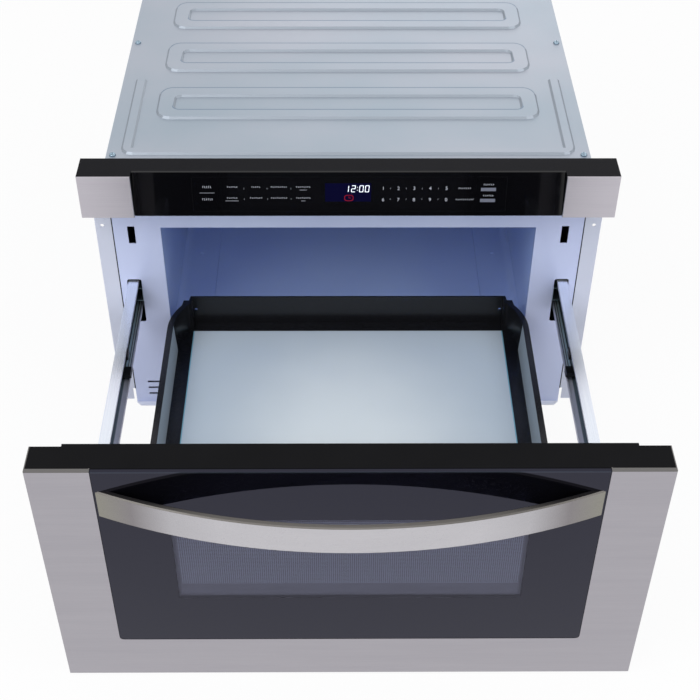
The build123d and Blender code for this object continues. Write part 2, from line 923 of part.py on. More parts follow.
def drive_pinion():
    # involute teeth: each flank unwinds from the base circle, one tooth points straight up
    base = pitch_radius * cos(radians(pressure_angle))
    tip = pitch_radius + addendum
    root = pitch_radius - dedendum
    spread = tan(radians(pressure_angle)) - radians(pressure_angle)
    half_tooth = (tooth_pitch - backlash) / 4 / pitch_radius + spread

    def polar(radius, around):
        return (radius * sin(around), radius * cos(around))

    def flank(radius, side, tooth):
        angle = acos(min(base / radius, 1.0))
        return polar(radius, tooth + side * (half_tooth - (tan(angle) - angle)))

    radii = [base + (tip - base) * i / flank_steps for i in range(flank_steps + 1)]
    wheel = Circle(root)
    for i in range(pinion_teeth):
        tooth = 2 * pi * i / pinion_teeth
        left = [flank(r, -1, tooth) for r in radii]
        right = [flank(r, 1, tooth) for r in reversed(radii)]
        foot = [polar(root * 0.9, tooth + side * half_tooth) for side in (1, -1)]
        wheel += outline(left + right + foot)
    gear = across(Pos(pinion_y, pinion_z) * wheel, (-gear_width / 2, gear_width / 2))
    length = 2 * bracket_outer + gearbox_depth / 2
    return gear + rod(pinion_shaft, (-bracket_outer, pinion_y, pinion_z), length, (1, 0, 0))


def drive_rack():
    # straight-sided teeth along the underside; a gap sits over the pinion's upright tooth
    slope = tan(radians(pressure_angle))
    half = (tooth_pitch - backlash) / 4
    root_z, tip_z = pitch_z + dedendum, pitch_z - addendum
    tail = pinion_y + rack_tail
    points = [(door_back_y, rack_top), (door_back_y, root_z)]
    first = int((tail - door_back_y - rack_tail) / tooth_pitch)
    for i in range(-first, int(rack_tail / tooth_pitch)):
        middle = pinion_y + (i + 0.5) * tooth_pitch
        points.append((middle - half - dedendum * slope, root_z))
        points.append((middle - half + addendum * slope, tip_z))
        points.append((middle + half - addendum * slope, tip_z))
        points.append((middle + half + dedendum * slope, root_z))
    points += [(tail, root_z), (tail, rack_top)]
    rack = across(outline(points), (-rack_width / 2, rack_width / 2))
    pitch = (tail - door_back_y - rack_pocket_rib) / rack_pockets
    pocket_z = (root_z + rack_pocket_edge, rack_top - rack_pocket_edge)
    for i in range(rack_pockets):
        start = door_back_y + rack_pocket_rib + i * pitch
        pocket_y = (start, start + pitch - rack_pocket_rib)
        rack -= pair(block((rack_web_half, rack_width / 2 + past), pocket_y, pocket_z))
    return rack


def motor_bracket():
    # two cheeks that hold the pinion between them and steer the rack over it
    shoe_base = rack_top + running_gap
    shoe_top = shoe_base + cheek
    y = (pinion_y - cheek_reach, pinion_y + cheek_reach)
    plate = area(y, (sheet, shoe_top))
    plate = chamfer(plate.vertices().group_by(Axis.Y)[-1], cheek_corner)
    plate -= Pos(pinion_y, pinion_z) * Circle(pinion_shaft + bearing_play)
    bracket = pair(across(plate, (bracket_inner, bracket_outer)))
    bridge_y = (pinion_y - bridge_half, pinion_y + bridge_half)
    bracket += block((-bracket_outer, bracket_outer), bridge_y, (shoe_base, shoe_top))
    foot_half = bracket_outer + drive_foot
    return bracket + block((-foot_half, foot_half), y, (sheet, sheet + cheek))


def drive_motor():
    # worm gearbox with cut corners, and its round motor
    start, end = bracket_outer, bracket_outer + gearbox_depth
    y = (pinion_y - gearbox_half, pinion_y + gearbox_half)
    face = window_area(y, (pinion_z - gearbox_drop, pinion_z + gearbox_rise), gearbox_corner)
    case = across(face, (start, end))
    socket = pinion_shaft + bearing_play
    depth = gearbox_depth / 2 + past
    case -= rod(socket, (start - past, pinion_y, pinion_z), depth + past, (1, 0, 0))
    drum = Pos(pinion_y, pinion_z - motor_drop) * RegularPolygon(motor_radius, 2 * roller_sides)
    return case + across(drum, (end, end + motor_length))


# ---- drawer front ----
band_inner = front_half - side_band
glass_base = door_lift + lower_band
handle_z = door_top - handle_drop
handle_half = band_inner - handle_margin
handle_screw_x = handle_half - handle_screw_inset
trim_front = front_y + glass_sink + glass_thickness
frame_back = front_y + frame_depth
screen_back = trim_front + screen_gap + screen_thickness
inner_half = front_half - inner_inset
inner_front = door_back_y - inner_wall
window_half = band_inner - window_side
window_base = glass_base + window_low
window_top = door_top - window_high


def drawer_frame():
    # folded steel: two side bands and a lower band round the glass, turned back at the edges
    face = area((-front_half, front_half), (door_lift, door_top))
    above = door_top + glass_corner + past
    opening = area((-band_inner, band_inner), (glass_base, above), glass_corner)
    frame = upright(face - opening, (front_y, front_y + sheet))
    y = (front_y, frame_back)
    frame += pair(block((front_half - sheet, front_half), y, (door_lift, door_top)))
    frame += block((-front_half, front_half), y, (door_lift, door_lift + sheet))
    top_y = (front_y, front_y + top_return)
    frame += pair(block((band_inner, front_half), top_y, (door_top - sheet, door_top)))
    lip = area((-band_inner - sheet, band_inner + sheet), (glass_base - sheet, above), glass_corner)
    lip &= face
    frame += upright(lip - opening, (front_y, front_y + sheet + glass_thickness))
    corners = frame.edges().filter_by(Axis.Z).group_by(Axis.Y)[0].sort_by(Axis.X)
    return fillet([corners[0], corners[-1]], front_edge)


def drawer_glass():
    half = band_inner - glass_play
    pane = area((-half, half), (glass_base + glass_play, door_top - glass_play))
    pane = fillet(pane.vertices().group_by(Axis.Y)[0], glass_corner - glass_play)
    for x in (-handle_screw_x, handle_screw_x):
        pane -= Pos(x, handle_z) * RegularPolygon(handle_screw + hole_play, shank_sides)
    glass = upright(pane, (front_y + glass_sink, trim_front))
    return chamfer(glass.edges().filter_by(Axis.X).group_by(Axis.Z)[-1], glass_bevel)


def top_trim():
    # black cap over the open top of the drawer front, stepped at the back
    face = area((-front_half + sheet, front_half - sheet), (trim_front, frame_back))
    face += area((-inner_half, inner_half), (trim_front, door_back_y))
    cap = level(face, (door_top - trim_height, door_top))
    half = front_half - sheet - trim_wall
    hollow = area((-half, half), (trim_front + trim_wall, frame_back - trim_wall))
    cap -= level(hollow, (door_top - trim_height - past, door_top - trim_wall))
    frame_lip = (trim_front - past, front_y + sheet + glass_thickness)
    return cap - pair(block((band_inner, front_half), frame_lip, (door_lift, door_top + past)))


def inner_door_panel():
    # moulded back of the drawer front, with a rim that stands forward into the frame
    outer = area((-inner_half, inner_half), (door_lift + sheet, door_top - trim_height), inner_corner)
    half = window_half + window_margin
    limits = (window_base - window_margin, window_top + window_margin)
    panel = upright(outer - area((-half, half), limits, window_corner), (inner_front, door_back_y))
    half = inner_half - inner_rim_inset
    rim_z = (door_lift + sheet + inner_rim_inset, door_top - trim_height - inner_rim_inset)
    rim = area((-half, half), rim_z)
    half -= trim_wall
    rim -= area((-half, half), (rim_z[0] + trim_wall, rim_z[1] - trim_wall))
    return panel + upright(rim, (inner_front - inner_rim_depth, inner_front))


def window_frame(margin):
    # the window's outline, grown by a margin
    half = window_half + margin
    return area((-half, half), (window_base - margin, window_top + margin))


def wave_trap():
    # folded steel ring round the window: its outer wall stops short, which leaves the trap's mouth
    outer = window_margin + trap_width
    ring = window_frame(outer) - window_frame(window_margin)
    trap = upright(ring, (screen_back, screen_back + sheet))
    inner_wall_face = window_frame(window_margin + sheet) - window_frame(window_margin)
    trap += upright(inner_wall_face, (screen_back, inner_front))
    outer_wall_face = window_frame(outer) - window_frame(outer - sheet)
    return trap + upright(outer_wall_face, (screen_back, inner_front - trap_mouth))


def window_screen():
    # perforated plate behind the glass, dished forward so that its middle lies near the glass
    plate_front = screen_back - screen_thickness
    plate = upright(window_frame(screen_rim), (plate_front, screen_back))
    forwards = Plane((0, plate_front, 0), x_dir=(1, 0, 0), z_dir=(0, -1, 0))
    return press(plate, forwards, window_frame(0), screen_dish, screen_thickness)


def handle():
    # flat strap bent to one arc, cut flush where its ends land on the glass
    radius = (handle_half**2 + handle_bow**2) / (2 * handle_bow)
    landing = front_y + glass_sink
    ring = Pos(0, landing - handle_bow + radius) * (Circle(radius) - Circle(radius - handle_thickness))
    half = handle_half + past
    keep = area((-half, half), (landing - handle_bow - past, landing))
    strap = level(ring & keep, (handle_z - handle_height / 2, handle_z + handle_height / 2))
    rims = strap.edges().filter_by(lambda e: e.geom_type == GeomType.CIRCLE)
    return chamfer(rims, handle_edge)


def handle_screws():
    landing = front_y + glass_sink
    centre = Pos(handle_screw_x, handle_z)
    screw = upright(centre * RegularPolygon(handle_screw, shank_sides), (landing, trim_front))
    nut = centre * RegularPolygon(handle_nut, 6)
    return pair(screw + upright(nut, (trim_front, trim_front + handle_nut_height)))


def latch_hooks():
    x_middle = (latch_slot_inner + latch_slot_outer) / 2
    x = (x_middle - latch_thickness / 2, x_middle + latch_thickness / 2)
    z_middle = (latch_slot_base + latch_slot_top) / 2
    low, high = z_middle - latch_height / 2, z_middle + latch_height / 2
    tip = door_back_y + latch_length
    neck = tip - latch_tip
    points = [
        (door_back_y, low),
        (neck, low),
        (neck, low + latch_rise),
        (tip - latch_tip + latch_hook, low + latch_rise),
        (tip - latch_tip + latch_hook, low),
        (tip, low + latch_hook),
        (tip, high - latch_rise),
        (neck, high),
        (door_back_y, high),
    ]
    return pair(across(outline(points), x))


# ---- tray ----
tray_half = cavity_half - tray_gap
tray_base = floor_z + tray_lift
tray_floor = tray_base + tray_floor_rise
tray_rim_top = tray_floor + tray_depth
tray_back = cavity_depth - travel - tray_rear_gap
rear_plate_half = tray_half - tray_corner_turn - tray_step_slope - tray_shelf
side_glass_back = tray_back - side_glass_end
floor_glass_half = tray_half - tray_ledge
floor_glass_y = (door_back_y + tray_front_ledge, tray_back - tray_rear_ledge)


def tray_outline(inset):
    # plan of the tray, right half then its mirror; the rear corners turn in and step to the rear plate
    half = tray_half - inset
    front = door_back_y + inset
    back = tray_back - inset
    shelf = back - tray_step
    shoulder = half - tray_corner_turn
    bend_start = tray_back - tray_corner_length
    bend = TangentArc((half, bend_start), (shoulder, tray_back - tray_corner_reach), tangent=(0, 1))
    plate = rear_plate_half - inset
    corners = [
        (shoulder, tray_back - tray_corner_reach),
        (shoulder - tray_step_slope, shelf),
        (plate + tray_step_slope, shelf),
        (plate, back),
        (0, back),
        (0, front),
        (half, front),
        (half, bend_start),
    ]
    right = make_face(Curve() + [bend, Polyline(*corners)])
    return right + mirrored(right)


def glass_section():
    # cross-section of the side glass, leaning in towards its foot
    foot = tray_half - tray_rim - side_glass_drop
    top = tray_half - tray_rim
    return [(foot, tray_floor), (top, tray_rim_top - side_glass_cap)]


def glass_pocket():
    # room for a side glass under the rim, open towards the tray
    foot, top = glass_section()
    room = side_glass_thickness + running_gap / 2
    top_z = top[1] + running_gap / 2
    points = [
        (foot[0] - past, foot[1]),
        (foot[0] + room, foot[1]),
        (top[0] + room, top_z),
        (top[0], top_z),
        (top[0], tray_rim_top + past),
        (foot[0] - past, tray_rim_top + past),
    ]
    return upright(outline(points), (door_back_y + tray_wall, side_glass_back))


def glide():
    # foot under the rear of the tray that runs on the cavity floor, beside its raised pad
    start = cavity_half - floor_pad_margin + glide_clear
    x = (start, start + glide_width)
    end = tray_back - glide_stem
    foot = block(x, (end - glide_length, end), (floor_z + running_gap, tray_base))
    stem_y = (end - glide_length / 2 - glide_stem / 2, end - glide_length / 2 + glide_stem / 2)
    return foot + block(x, stem_y, (tray_base, tray_floor - tray_skin))


def tray_frame():
    tray = level(tray_outline(0), (tray_base, tray_rim_top))
    base_edges = tray.edges().group_by(Axis.Z)[0].sort_by(Axis.Y)[1:]
    tray = chamfer(base_edges, tray_base_chamfer)
    side_wall = tray_half - tray_rim - side_glass_drop
    well = area((-side_wall, side_wall), (door_back_y + tray_wall, side_glass_back))
    well += tray_outline(tray_rim)
    rear_half = rear_plate_half - tray_wall
    well += area((-rear_half, rear_half), (door_back_y + tray_wall, tray_back - tray_wall))
    tray -= level(well, (tray_floor, tray_rim_top + past))
    tray -= pair(glass_pocket())
    tray -= level(tray_outline(tray_wall), (tray_base - past, tray_floor - tray_skin))
    half = floor_glass_half - tray_seat
    hole_y = (floor_glass_y[0] + tray_seat, floor_glass_y[1] - tray_seat)
    hole = area((-half, half), hole_y, tray_seat_corner)
    tray -= level(hole, (tray_base - past, tray_floor + past))
    rebate = area((-floor_glass_half, floor_glass_half), floor_glass_y)
    tray -= level(rebate, (tray_floor - glass_thickness, tray_floor + past))
    rear_screw_x = rear_plate_half - rear_screw_inset
    for x in (-rear_screw_x, rear_screw_x):
        start = (x, tray_back - tray_wall - past, tray_floor + rear_screw_rise)
        tray -= rod(rear_screw_hole, start, tray_wall + 2 * past, (0, 1, 0))
    return tray + pair(glide())


def tray_side_glass():
    # strip of glass along each tray side
    foot, top = glass_section()
    points = [
        foot,
        (foot[0] + side_glass_thickness, foot[1]),
        (top[0] + side_glass_thickness, top[1]),
        top,
    ]
    y = (door_back_y + tray_wall + running_gap, side_glass_back - running_gap)
    return pair(upright(outline(points), y))


def tray_floor_glass():
    play = running_gap / 2
    half = floor_glass_half - play
    pane = area((-half, half), (floor_glass_y[0] + play, floor_glass_y[1] - play))
    return level(pane, (tray_floor - glass_thickness, tray_floor))


# ---- works ----
def waveguide():
    # closed duct from the magnetron to the stirrer well
    y = (well_y - well_half, body_depth - guide_rear)
    guide = block((-guide_half, guide_half), y, (guide_base, guide_top))
    inside = guide_half - sheet
    inside_z = (guide_base + sheet, guide_top - sheet)
    guide -= block((-inside, inside), (y[0] + sheet, y[1] - sheet), inside_z)
    guide -= guide_window((guide_base - past, guide_base + sheet + past))
    hole = stirrer_shaft + stirrer_play
    guide -= rod(hole, (0, well_y, guide_top - sheet - past), sheet + 2 * past, (0, 0, 1))
    aerial_hole = Pos(0, works_y) * RegularPolygon(aerial_radius + aerial_play, roller_sides)
    return guide - level(aerial_hole, (guide_base - past, guide_base + sheet + past))


def stirrer_motor():
    face = Pos(0, well_y) * RegularPolygon(stirrer_motor_radius, 2 * roller_sides)
    case = level(face, (guide_top, guide_top + stirrer_motor_height))
    ears = Pos(0, well_y) * Rectangle(ear_length, ear_width)
    case += level(ears, (guide_top, guide_top + ear_thickness))
    socket = stirrer_shaft + bearing_play
    return case - rod(socket, (0, well_y, guide_top - past), stirrer_socket + past, (0, 0, 1))


def stirrer_fan():
    # tilted metal blades on a hub, hung from the motor shaft
    low = roof_z + stirrer_drop
    hub = Pos(0, well_y) * RegularPolygon(stirrer_hub, roller_sides)
    fan = level(hub, (low, low + stirrer_hub_height))
    shaft_top = guide_top + stirrer_socket - sheet
    fan += rod(stirrer_shaft, (0, well_y, low), shaft_top - low, (0, 0, 1))
    root = stirrer_hub / 2
    length = stirrer_radius - root
    blade = Rot(stirrer_tilt, 0, 0) * Box(length, stirrer_blade_width, sheet)
    at = Pos(root + length / 2, 0, 0)
    centre = Pos(0, well_y, low + stirrer_hub_height / 2)
    for i in range(stirrer_blades):
        fan += centre * Rot(0, 0, 360 / stirrer_blades * i) * at * blade
    return fan


def magnetron():
    # steel yoke open at the front and back, cooling fins round the anode, aerial up into the duct
    base = guide_base - magnetron_height
    x = (-magnetron_half, magnetron_half)
    y = (works_y - magnetron_front, works_y + magnetron_rear)
    inside_x = (x[0] + magnetron_plate, x[1] - magnetron_plate)
    inside_z = (base + magnetron_plate, guide_base - magnetron_plate)
    body = block(x, y, (base, guide_base)) - block(inside_x, (y[0] - past, y[1] + past), inside_z)
    anode = Pos(0, works_y) * RegularPolygon(anode_radius, roller_sides)
    body += level(anode, inside_z)
    step = (inside_z[1] - inside_z[0]) / (magnetron_fins + 1)
    for i in range(magnetron_fins):
        z = inside_z[0] + (i + 1) * step
        body += block(inside_x, y, (z, z + magnetron_fin))
    aerial = Pos(0, works_y) * RegularPolygon(aerial_radius, roller_sides)
    body += level(aerial, (guide_base, guide_base + aerial_length))
    filter_y = (works_y - filter_half, works_y + filter_half)
    return body + block((-filter_half, filter_half), filter_y, (base - filter_height, base))


def hv_transformer():
    # laminated core with two windows and the coil through them, on a foot plate
    x, y = transformer_x, works_y

    def centred(half_x, half_y, z):
        return block((x - half_x, x + half_x), (y - half_y, y + half_y), z)

    core_base = sheet + transformer_plate
    coil_z = (core_base + coil_lift, core_base + coil_lift + coil_height)
    foot = centred(transformer_foot, coil_depth, (sheet, core_base))
    core = centred(core_half, core_depth, (core_base, core_base + core_height))
    coil = centred(coil_half, coil_depth, coil_z)
    coil = chamfer(coil.edges().filter_by(Axis.Z), coil_chamfer)
    return foot + core + coil


def hv_capacitor():
    top = sheet + capacitor_height
    half_length, half_width = capacitor_length / 2, capacitor_width / 2
    face = area(
        (capacitor_x - half_length, capacitor_x + half_length),
        (works_y - half_width, works_y + half_width),
        half_width - past,
    )
    can = level(face, (sheet, top))
    y = (works_y - terminal_thickness / 2, works_y + terminal_thickness / 2)
    for x in (capacitor_x - terminal_spacing, capacitor_x + terminal_spacing):
        tab_x = (x - terminal_width / 2, x + terminal_width / 2)
        can += block(tab_x, y, (top, top + terminal_height))
    return can


def fan_shroud():
    # square housing with a round air way, carried on the back, and a spider for the motor
    x = (fan_x - shroud_half, fan_x + shroud_half)
    z = (fan_z - shroud_half, fan_z + shroud_half)
    bore = fan_radius + fan_play
    centre = (fan_x, fan_front - past, fan_z)
    shroud = block(x, (fan_front, fan_back), z)
    way = RegularPolygon(bore, 2 * roller_sides, major_radius=False)
    shroud -= upright(Pos(fan_x, fan_z) * way, (fan_front - past, fan_back + past))
    depth = (fan_front, fan_front + spider)
    spokes = Rot(0, 0, 45) * Rectangle(2 * bore + spider, 2 * spider)
    spokes += Rot(0, 0, -45) * Rectangle(2 * bore + spider, 2 * spider)
    spokes += RegularPolygon(spider_hub, 8)
    shroud += upright(Pos(fan_x, fan_z) * spokes, depth)
    return shroud - rod(fan_shaft + fan_play / 2, centre, spider + 2 * past, (0, 1, 0))


def fan_motor():
    # shaded-pole motor: square lamination stack, bearing straps before and behind, coil below
    front = fan_front - motor_stack - 2 * motor_strap
    stack_y = (front + motor_strap, front + motor_strap + motor_stack)

    def centred(half_x, half_z, y, z=fan_z):
        return block((fan_x - half_x, fan_x + half_x), y, (z - half_z, z + half_z))

    motor = centred(motor_stack_half, motor_stack_half, stack_y)
    motor += centred(motor_stack_half, motor_strap_half, (front, fan_front))
    coil_z = fan_z - motor_stack_half - fan_coil_drop / 2
    coil_y = (stack_y[0] - motor_strap / 2, stack_y[1] + motor_strap / 2)
    motor += centred(fan_coil_half, fan_coil_drop / 2, coil_y, coil_z)
    socket = fan_shaft + bearing_play
    start = fan_front - motor_strap - motor_stack / 2
    return motor - rod(socket, (fan_x, start, fan_z), fan_front - start + past, (0, 1, 0))


def fan_blade():
    # pitched blades that widen from the hub to the tip
    start = fan_front + fan_lead
    middle = start + fan_depth / 2
    wheel = upright(RegularPolygon(fan_hub, roller_sides), (start, start + fan_depth))
    reach = fan_lead + motor_strap
    wheel += rod(fan_shaft, (0, start - reach, 0), reach, (0, 1, 0))
    root = fan_hub - fan_play
    face = outline(
        [
            (root, -fan_blade_root / 2),
            (fan_radius, -fan_blade_tip / 2),
            (fan_radius, fan_blade_tip / 2),
            (root, fan_blade_root / 2),
        ]
    )
    half = fan_blade_thickness / 2
    blade = Rot(fan_pitch, 0, 0) * upright(face, (-half, half))
    for i in range(fan_blades):
        wheel += Pos(0, middle, 0) * Rot(0, 360 / fan_blades * i, 0) * blade
    return Pos(fan_x, 0, fan_z) * wheel


def interlock_switches():
    # two stacked switches on an angle beside each latch slot
    x = (latch_slot_outer + switch_gap, latch_slot_outer + switch_gap + switch_width)
    end = sheet + switch_start + switch_length
    z = (latch_slot_base - switch_margin, latch_slot_top + switch_margin)
    bracket = block((x[0], x[1] + switch_plate), (sheet, sheet + switch_plate), z)
    bracket += block((x[1], x[1] + switch_plate), (sheet, end), z)
    for i in range(2):
        low = z[0] + i * switch_pitch
        bracket += block(x, (sheet + switch_start, end), (low, low + switch_height))
    return pair(bracket)


def cord_gland():
    # bush through the back panel, held between its collar outside and a clip inside
    end = body_depth + gland_stand
    start = end - gland_length
    centre = Pos(gland_x, gland_z)
    bush = upright(centre * RegularPolygon(gland_radius, roller_sides), (start, end))
    collar = RegularPolygon(gland_radius + gland_collar, roller_sides)
    bush += upright(centre * collar, (body_depth, end))
    bush += upright(centre * collar, (fan_back - gland_collar, fan_back))
    return bush - rod(gland_bore, (gland_x, start - past, gland_z), gland_length + 2 * past, (0, 1, 0))


put("base_pan", base_pan())
put("top_cover", top_cover())
put("cover_screws", cover_screws())
put_pair("side_panel", side_panel())
put("back_panel", back_panel())
put("front_panel", front_panel())
put_pair("mounting_flange", mounting_flange())
put("cavity_floor", cavity_floor())
put("left_cavity_wall", mirrored(cavity_wall()))
put("right_cavity_wall", cavity_wall() - lamp_screen())
put("cavity_roof", cavity_roof())
put("cavity_back", cavity_back())
put("stirrer_cover", stirrer_cover())
put("cavity_lamp", cavity_lamp())
put("control_housing", control_housing())
put("control_glass", control_glass())
put_pair("end_cap", end_cap())
put("control_board", control_board())
put_pair("rail_arm", rail_arm())
put_pair("middle_rail", middle_rail())
put_pair("bumper", bumper())
put("fixed_rails", pair(fixed_rail()))
put("rail_brackets", pair(rail_bracket()))
put_pair("outer_cage", outer_cage())
put_pair("inner_cage", inner_cage())
put("drive_pinion", drive_pinion())
put("drive_rack", drive_rack())
put("motor_bracket", motor_bracket())
put("drive_motor", drive_motor())
put("drawer_frame", drawer_frame())
put("drawer_glass", drawer_glass())
put("top_trim", top_trim())
put("inner_door_panel", inner_door_panel())
put("wave_trap", wave_trap())
put("window_screen", window_screen())
put("handle", handle())
put("handle_screws", handle_screws())
put("latch_hooks", latch_hooks())
put("tray_frame", tray_frame())
put("tray_floor_glass", tray_floor_glass())
put("tray_side_glass", tray_side_glass())
put("waveguide", waveguide())
put("stirrer_motor", stirrer_motor())
put("stirrer_fan", stirrer_fan())
put("magnetron", magnetron())
put("hv_transformer", hv_transformer())
put("hv_capacitor", hv_capacitor())
put("fan_shroud", fan_shroud())
put("fan_motor", fan_motor())
put("fan_blade", fan_blade())
put("interlock_switches", interlock_switches())
put("cord_gland", cord_gland())
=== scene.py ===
import bpy
import math
import numpy as np
from mathutils import Matrix


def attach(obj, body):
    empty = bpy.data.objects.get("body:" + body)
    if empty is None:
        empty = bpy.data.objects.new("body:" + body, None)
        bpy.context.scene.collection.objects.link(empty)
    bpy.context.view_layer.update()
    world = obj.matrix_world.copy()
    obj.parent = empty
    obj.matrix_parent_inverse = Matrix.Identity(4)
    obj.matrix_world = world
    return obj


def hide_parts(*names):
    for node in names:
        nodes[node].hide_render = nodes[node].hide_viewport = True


# A built-in microwave drawer, standing open on a pale studio floor. The solids come from the CAD
# frame; this script gives every one of them its finish and adds the fine pieces on their surfaces.

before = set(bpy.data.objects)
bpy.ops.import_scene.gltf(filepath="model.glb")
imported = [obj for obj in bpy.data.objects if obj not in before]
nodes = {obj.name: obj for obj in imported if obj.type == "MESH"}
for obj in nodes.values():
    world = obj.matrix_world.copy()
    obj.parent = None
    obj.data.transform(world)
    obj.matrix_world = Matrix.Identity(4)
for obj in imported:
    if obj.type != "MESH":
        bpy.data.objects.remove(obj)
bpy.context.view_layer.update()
print("frame loaded:", len(nodes), "nodes")


# colours and shader nodes

def linearColour(code):
    # sRGB hex to linear light: each channel / 12.92 near black, else ((c + 0.055) / 1.055) ^ 2.4
    levels = [int(code[i:i + 2], 16) / 255 for i in (1, 3, 5)]
    return [c / 12.92 if c <= 0.04045 else ((c + 0.055) / 1.055) ** 2.4 for c in levels] + [1.0]


def addNode(tree, kind, settings=None, links=None):
    # one node with its settings, its ramp stops if it has any, and the sockets that feed it; a
    # socket goes by its number where the node has several of one name
    node = tree.nodes.new("ShaderNode" + kind)
    for name, value in (settings or {}).items():
        if name == "stops":
            ramp = node.color_ramp
            while len(ramp.elements) < len(value):
                ramp.elements.new(1.0)
            for element, (position, code) in zip(ramp.elements, value):
                element.position = position
                element.color = linearColour(code)
        elif isinstance(name, int) or name in node.inputs:
            node.inputs[name].default_value = value
        else:
            setattr(node, name, value)
    for name, socket in (links or {}).items():
        tree.links.new(socket, node.inputs[name])
    return node


def startFinish(name, surface):
    # a new material with one Principled surface, its fixed numbers set on that surface's sockets
    material = bpy.data.materials.new(name)
    material.use_nodes = True
    tree = material.node_tree
    shader = tree.nodes["Principled BSDF"]
    for socket, value in surface.items():
        shader.inputs[socket].default_value = value
    place = addNode(tree, "TexCoord").outputs["Object"]
    return material, tree, shader, place


def patternAt(tree, place, size, detail=3.0, roughness=0.55):
    # noise whose features are as large as size says, in metres along X, Y and Z
    mapping = addNode(tree, "Mapping", {"Scale": [1 / s for s in size]}, {"Vector": place})
    settings = {"Scale": 1.0, "Detail": detail, "Roughness": roughness}
    noise = addNode(tree, "TexNoise", settings, {"Vector": mapping.outputs["Vector"]})
    return noise.outputs["Fac"]


def fromMiddle(tree, place):
    # a point's three coordinates, and its distance |X| to either side of the middle plane
    axes = addNode(tree, "SeparateXYZ", None, {"Vector": place})
    across = addNode(tree, "Math", {"operation": "ABSOLUTE"}, {0: axes.outputs["X"]})
    return axes, across.outputs["Value"]


def rampAcross(tree, across, near, far, stops):
    # colours by the distance from the middle plane: a ramp laid between two distances
    share = addNode(tree, "MapRange", {"From Min": near, "From Max": far}, {"Value": across})
    ramp = addNode(tree, "ValToRGB", {"stops": stops}, {"Fac": share.outputs["Result"]})
    return ramp.outputs["Color"]


def join(tree, shader, colour=None, roughness=None, height=None, depth=0.0, strength=0.0,
         face=None):
    # plug a pattern's colour, roughness and relief into the surface; face keeps its facets flat
    if colour:
        tree.links.new(colour, shader.inputs["Base Color"])
    if roughness:
        tree.links.new(roughness, shader.inputs["Roughness"])
    if height:
        bump = addNode(tree, "Bump", {"Strength": strength, "Distance": depth}, {"Height": height})
        if face:
            tree.links.new(face, bump.inputs["Normal"])
        tree.links.new(bump.outputs["Normal"], shader.inputs["Normal"])


# finishes

rolled = (0.0008, 0.09, 0.0008)  # drawing marks of a cold rolled rail: 0.8 mm by 90 mm along it


def brushedStainless(name, light, dark, roughness, edgeShade=None, ends=None):
    # 304 stainless, belt brushed from side to side: long hairlines, a soft even glow. Faces where
    # |Z - middle| > reach get a darker colour, painted shade; a bowed strap gets painted shade
    # towards its ends
    material, tree, shader, place = startFinish(name, {"Metallic": 1.0})
    # hairlines 0.6 mm wide show; the real ones are about 0.1 mm
    hairline = patternAt(tree, place, (0.05, 0.0006, 0.0006), 3.0, 0.6)
    streak = patternAt(tree, place, (0.22, 0.012, 0.012), 2.0)
    both = addNode(tree, "Mix", {0: 0.35}, {2: hairline, 3: streak})
    tone = addNode(tree, "ValToRGB", {"stops": [(0.3, dark), (0.7, light)]},
                   {"Fac": both.outputs[0]}).outputs["Color"]
    axes, across = fromMiddle(tree, place)
    # painted shade towards the strap's ends, with a painted greenish reflection at the tips
    if ends:
        paintedEndShade = rampAcross(tree, across, ends["from"], ends["to"], ends["stops"])
        tone = addNode(tree, "Mix", {"data_type": "RGBA", "blend_type": "MULTIPLY", 0: 1.0},
                       {6: tone, 7: paintedEndShade}).outputs[2]
    # painted shade: a darker colour on faces further than reach from the middle height
    if edgeShade:
        off = addNode(tree, "Math", {"operation": "SUBTRACT", 1: edgeShade["middle"]},
                      {0: axes.outputs["Z"]})
        far = addNode(tree, "Math", {"operation": "ABSOLUTE"}, {0: off.outputs["Value"]})
        edge = addNode(tree, "Math", {"operation": "GREATER_THAN", 1: edgeShade["reach"]},
                       {0: far.outputs["Value"]})
        tone = addNode(tree, "Mix", {"data_type": "RGBA", 7: linearColour(edgeShade["colour"])},
                       {0: edge.outputs["Value"], 6: tone}).outputs[2]
    rough = addNode(tree, "MapRange", {
        "From Min": 0.3, "From Max": 0.7, "To Min": roughness - 0.04, "To Max": roughness + 0.04,
    }, {"Value": hairline})
    join(tree, shader, tone, rough.outputs["Result"], hairline, 0.00002, 0.1)
    return material


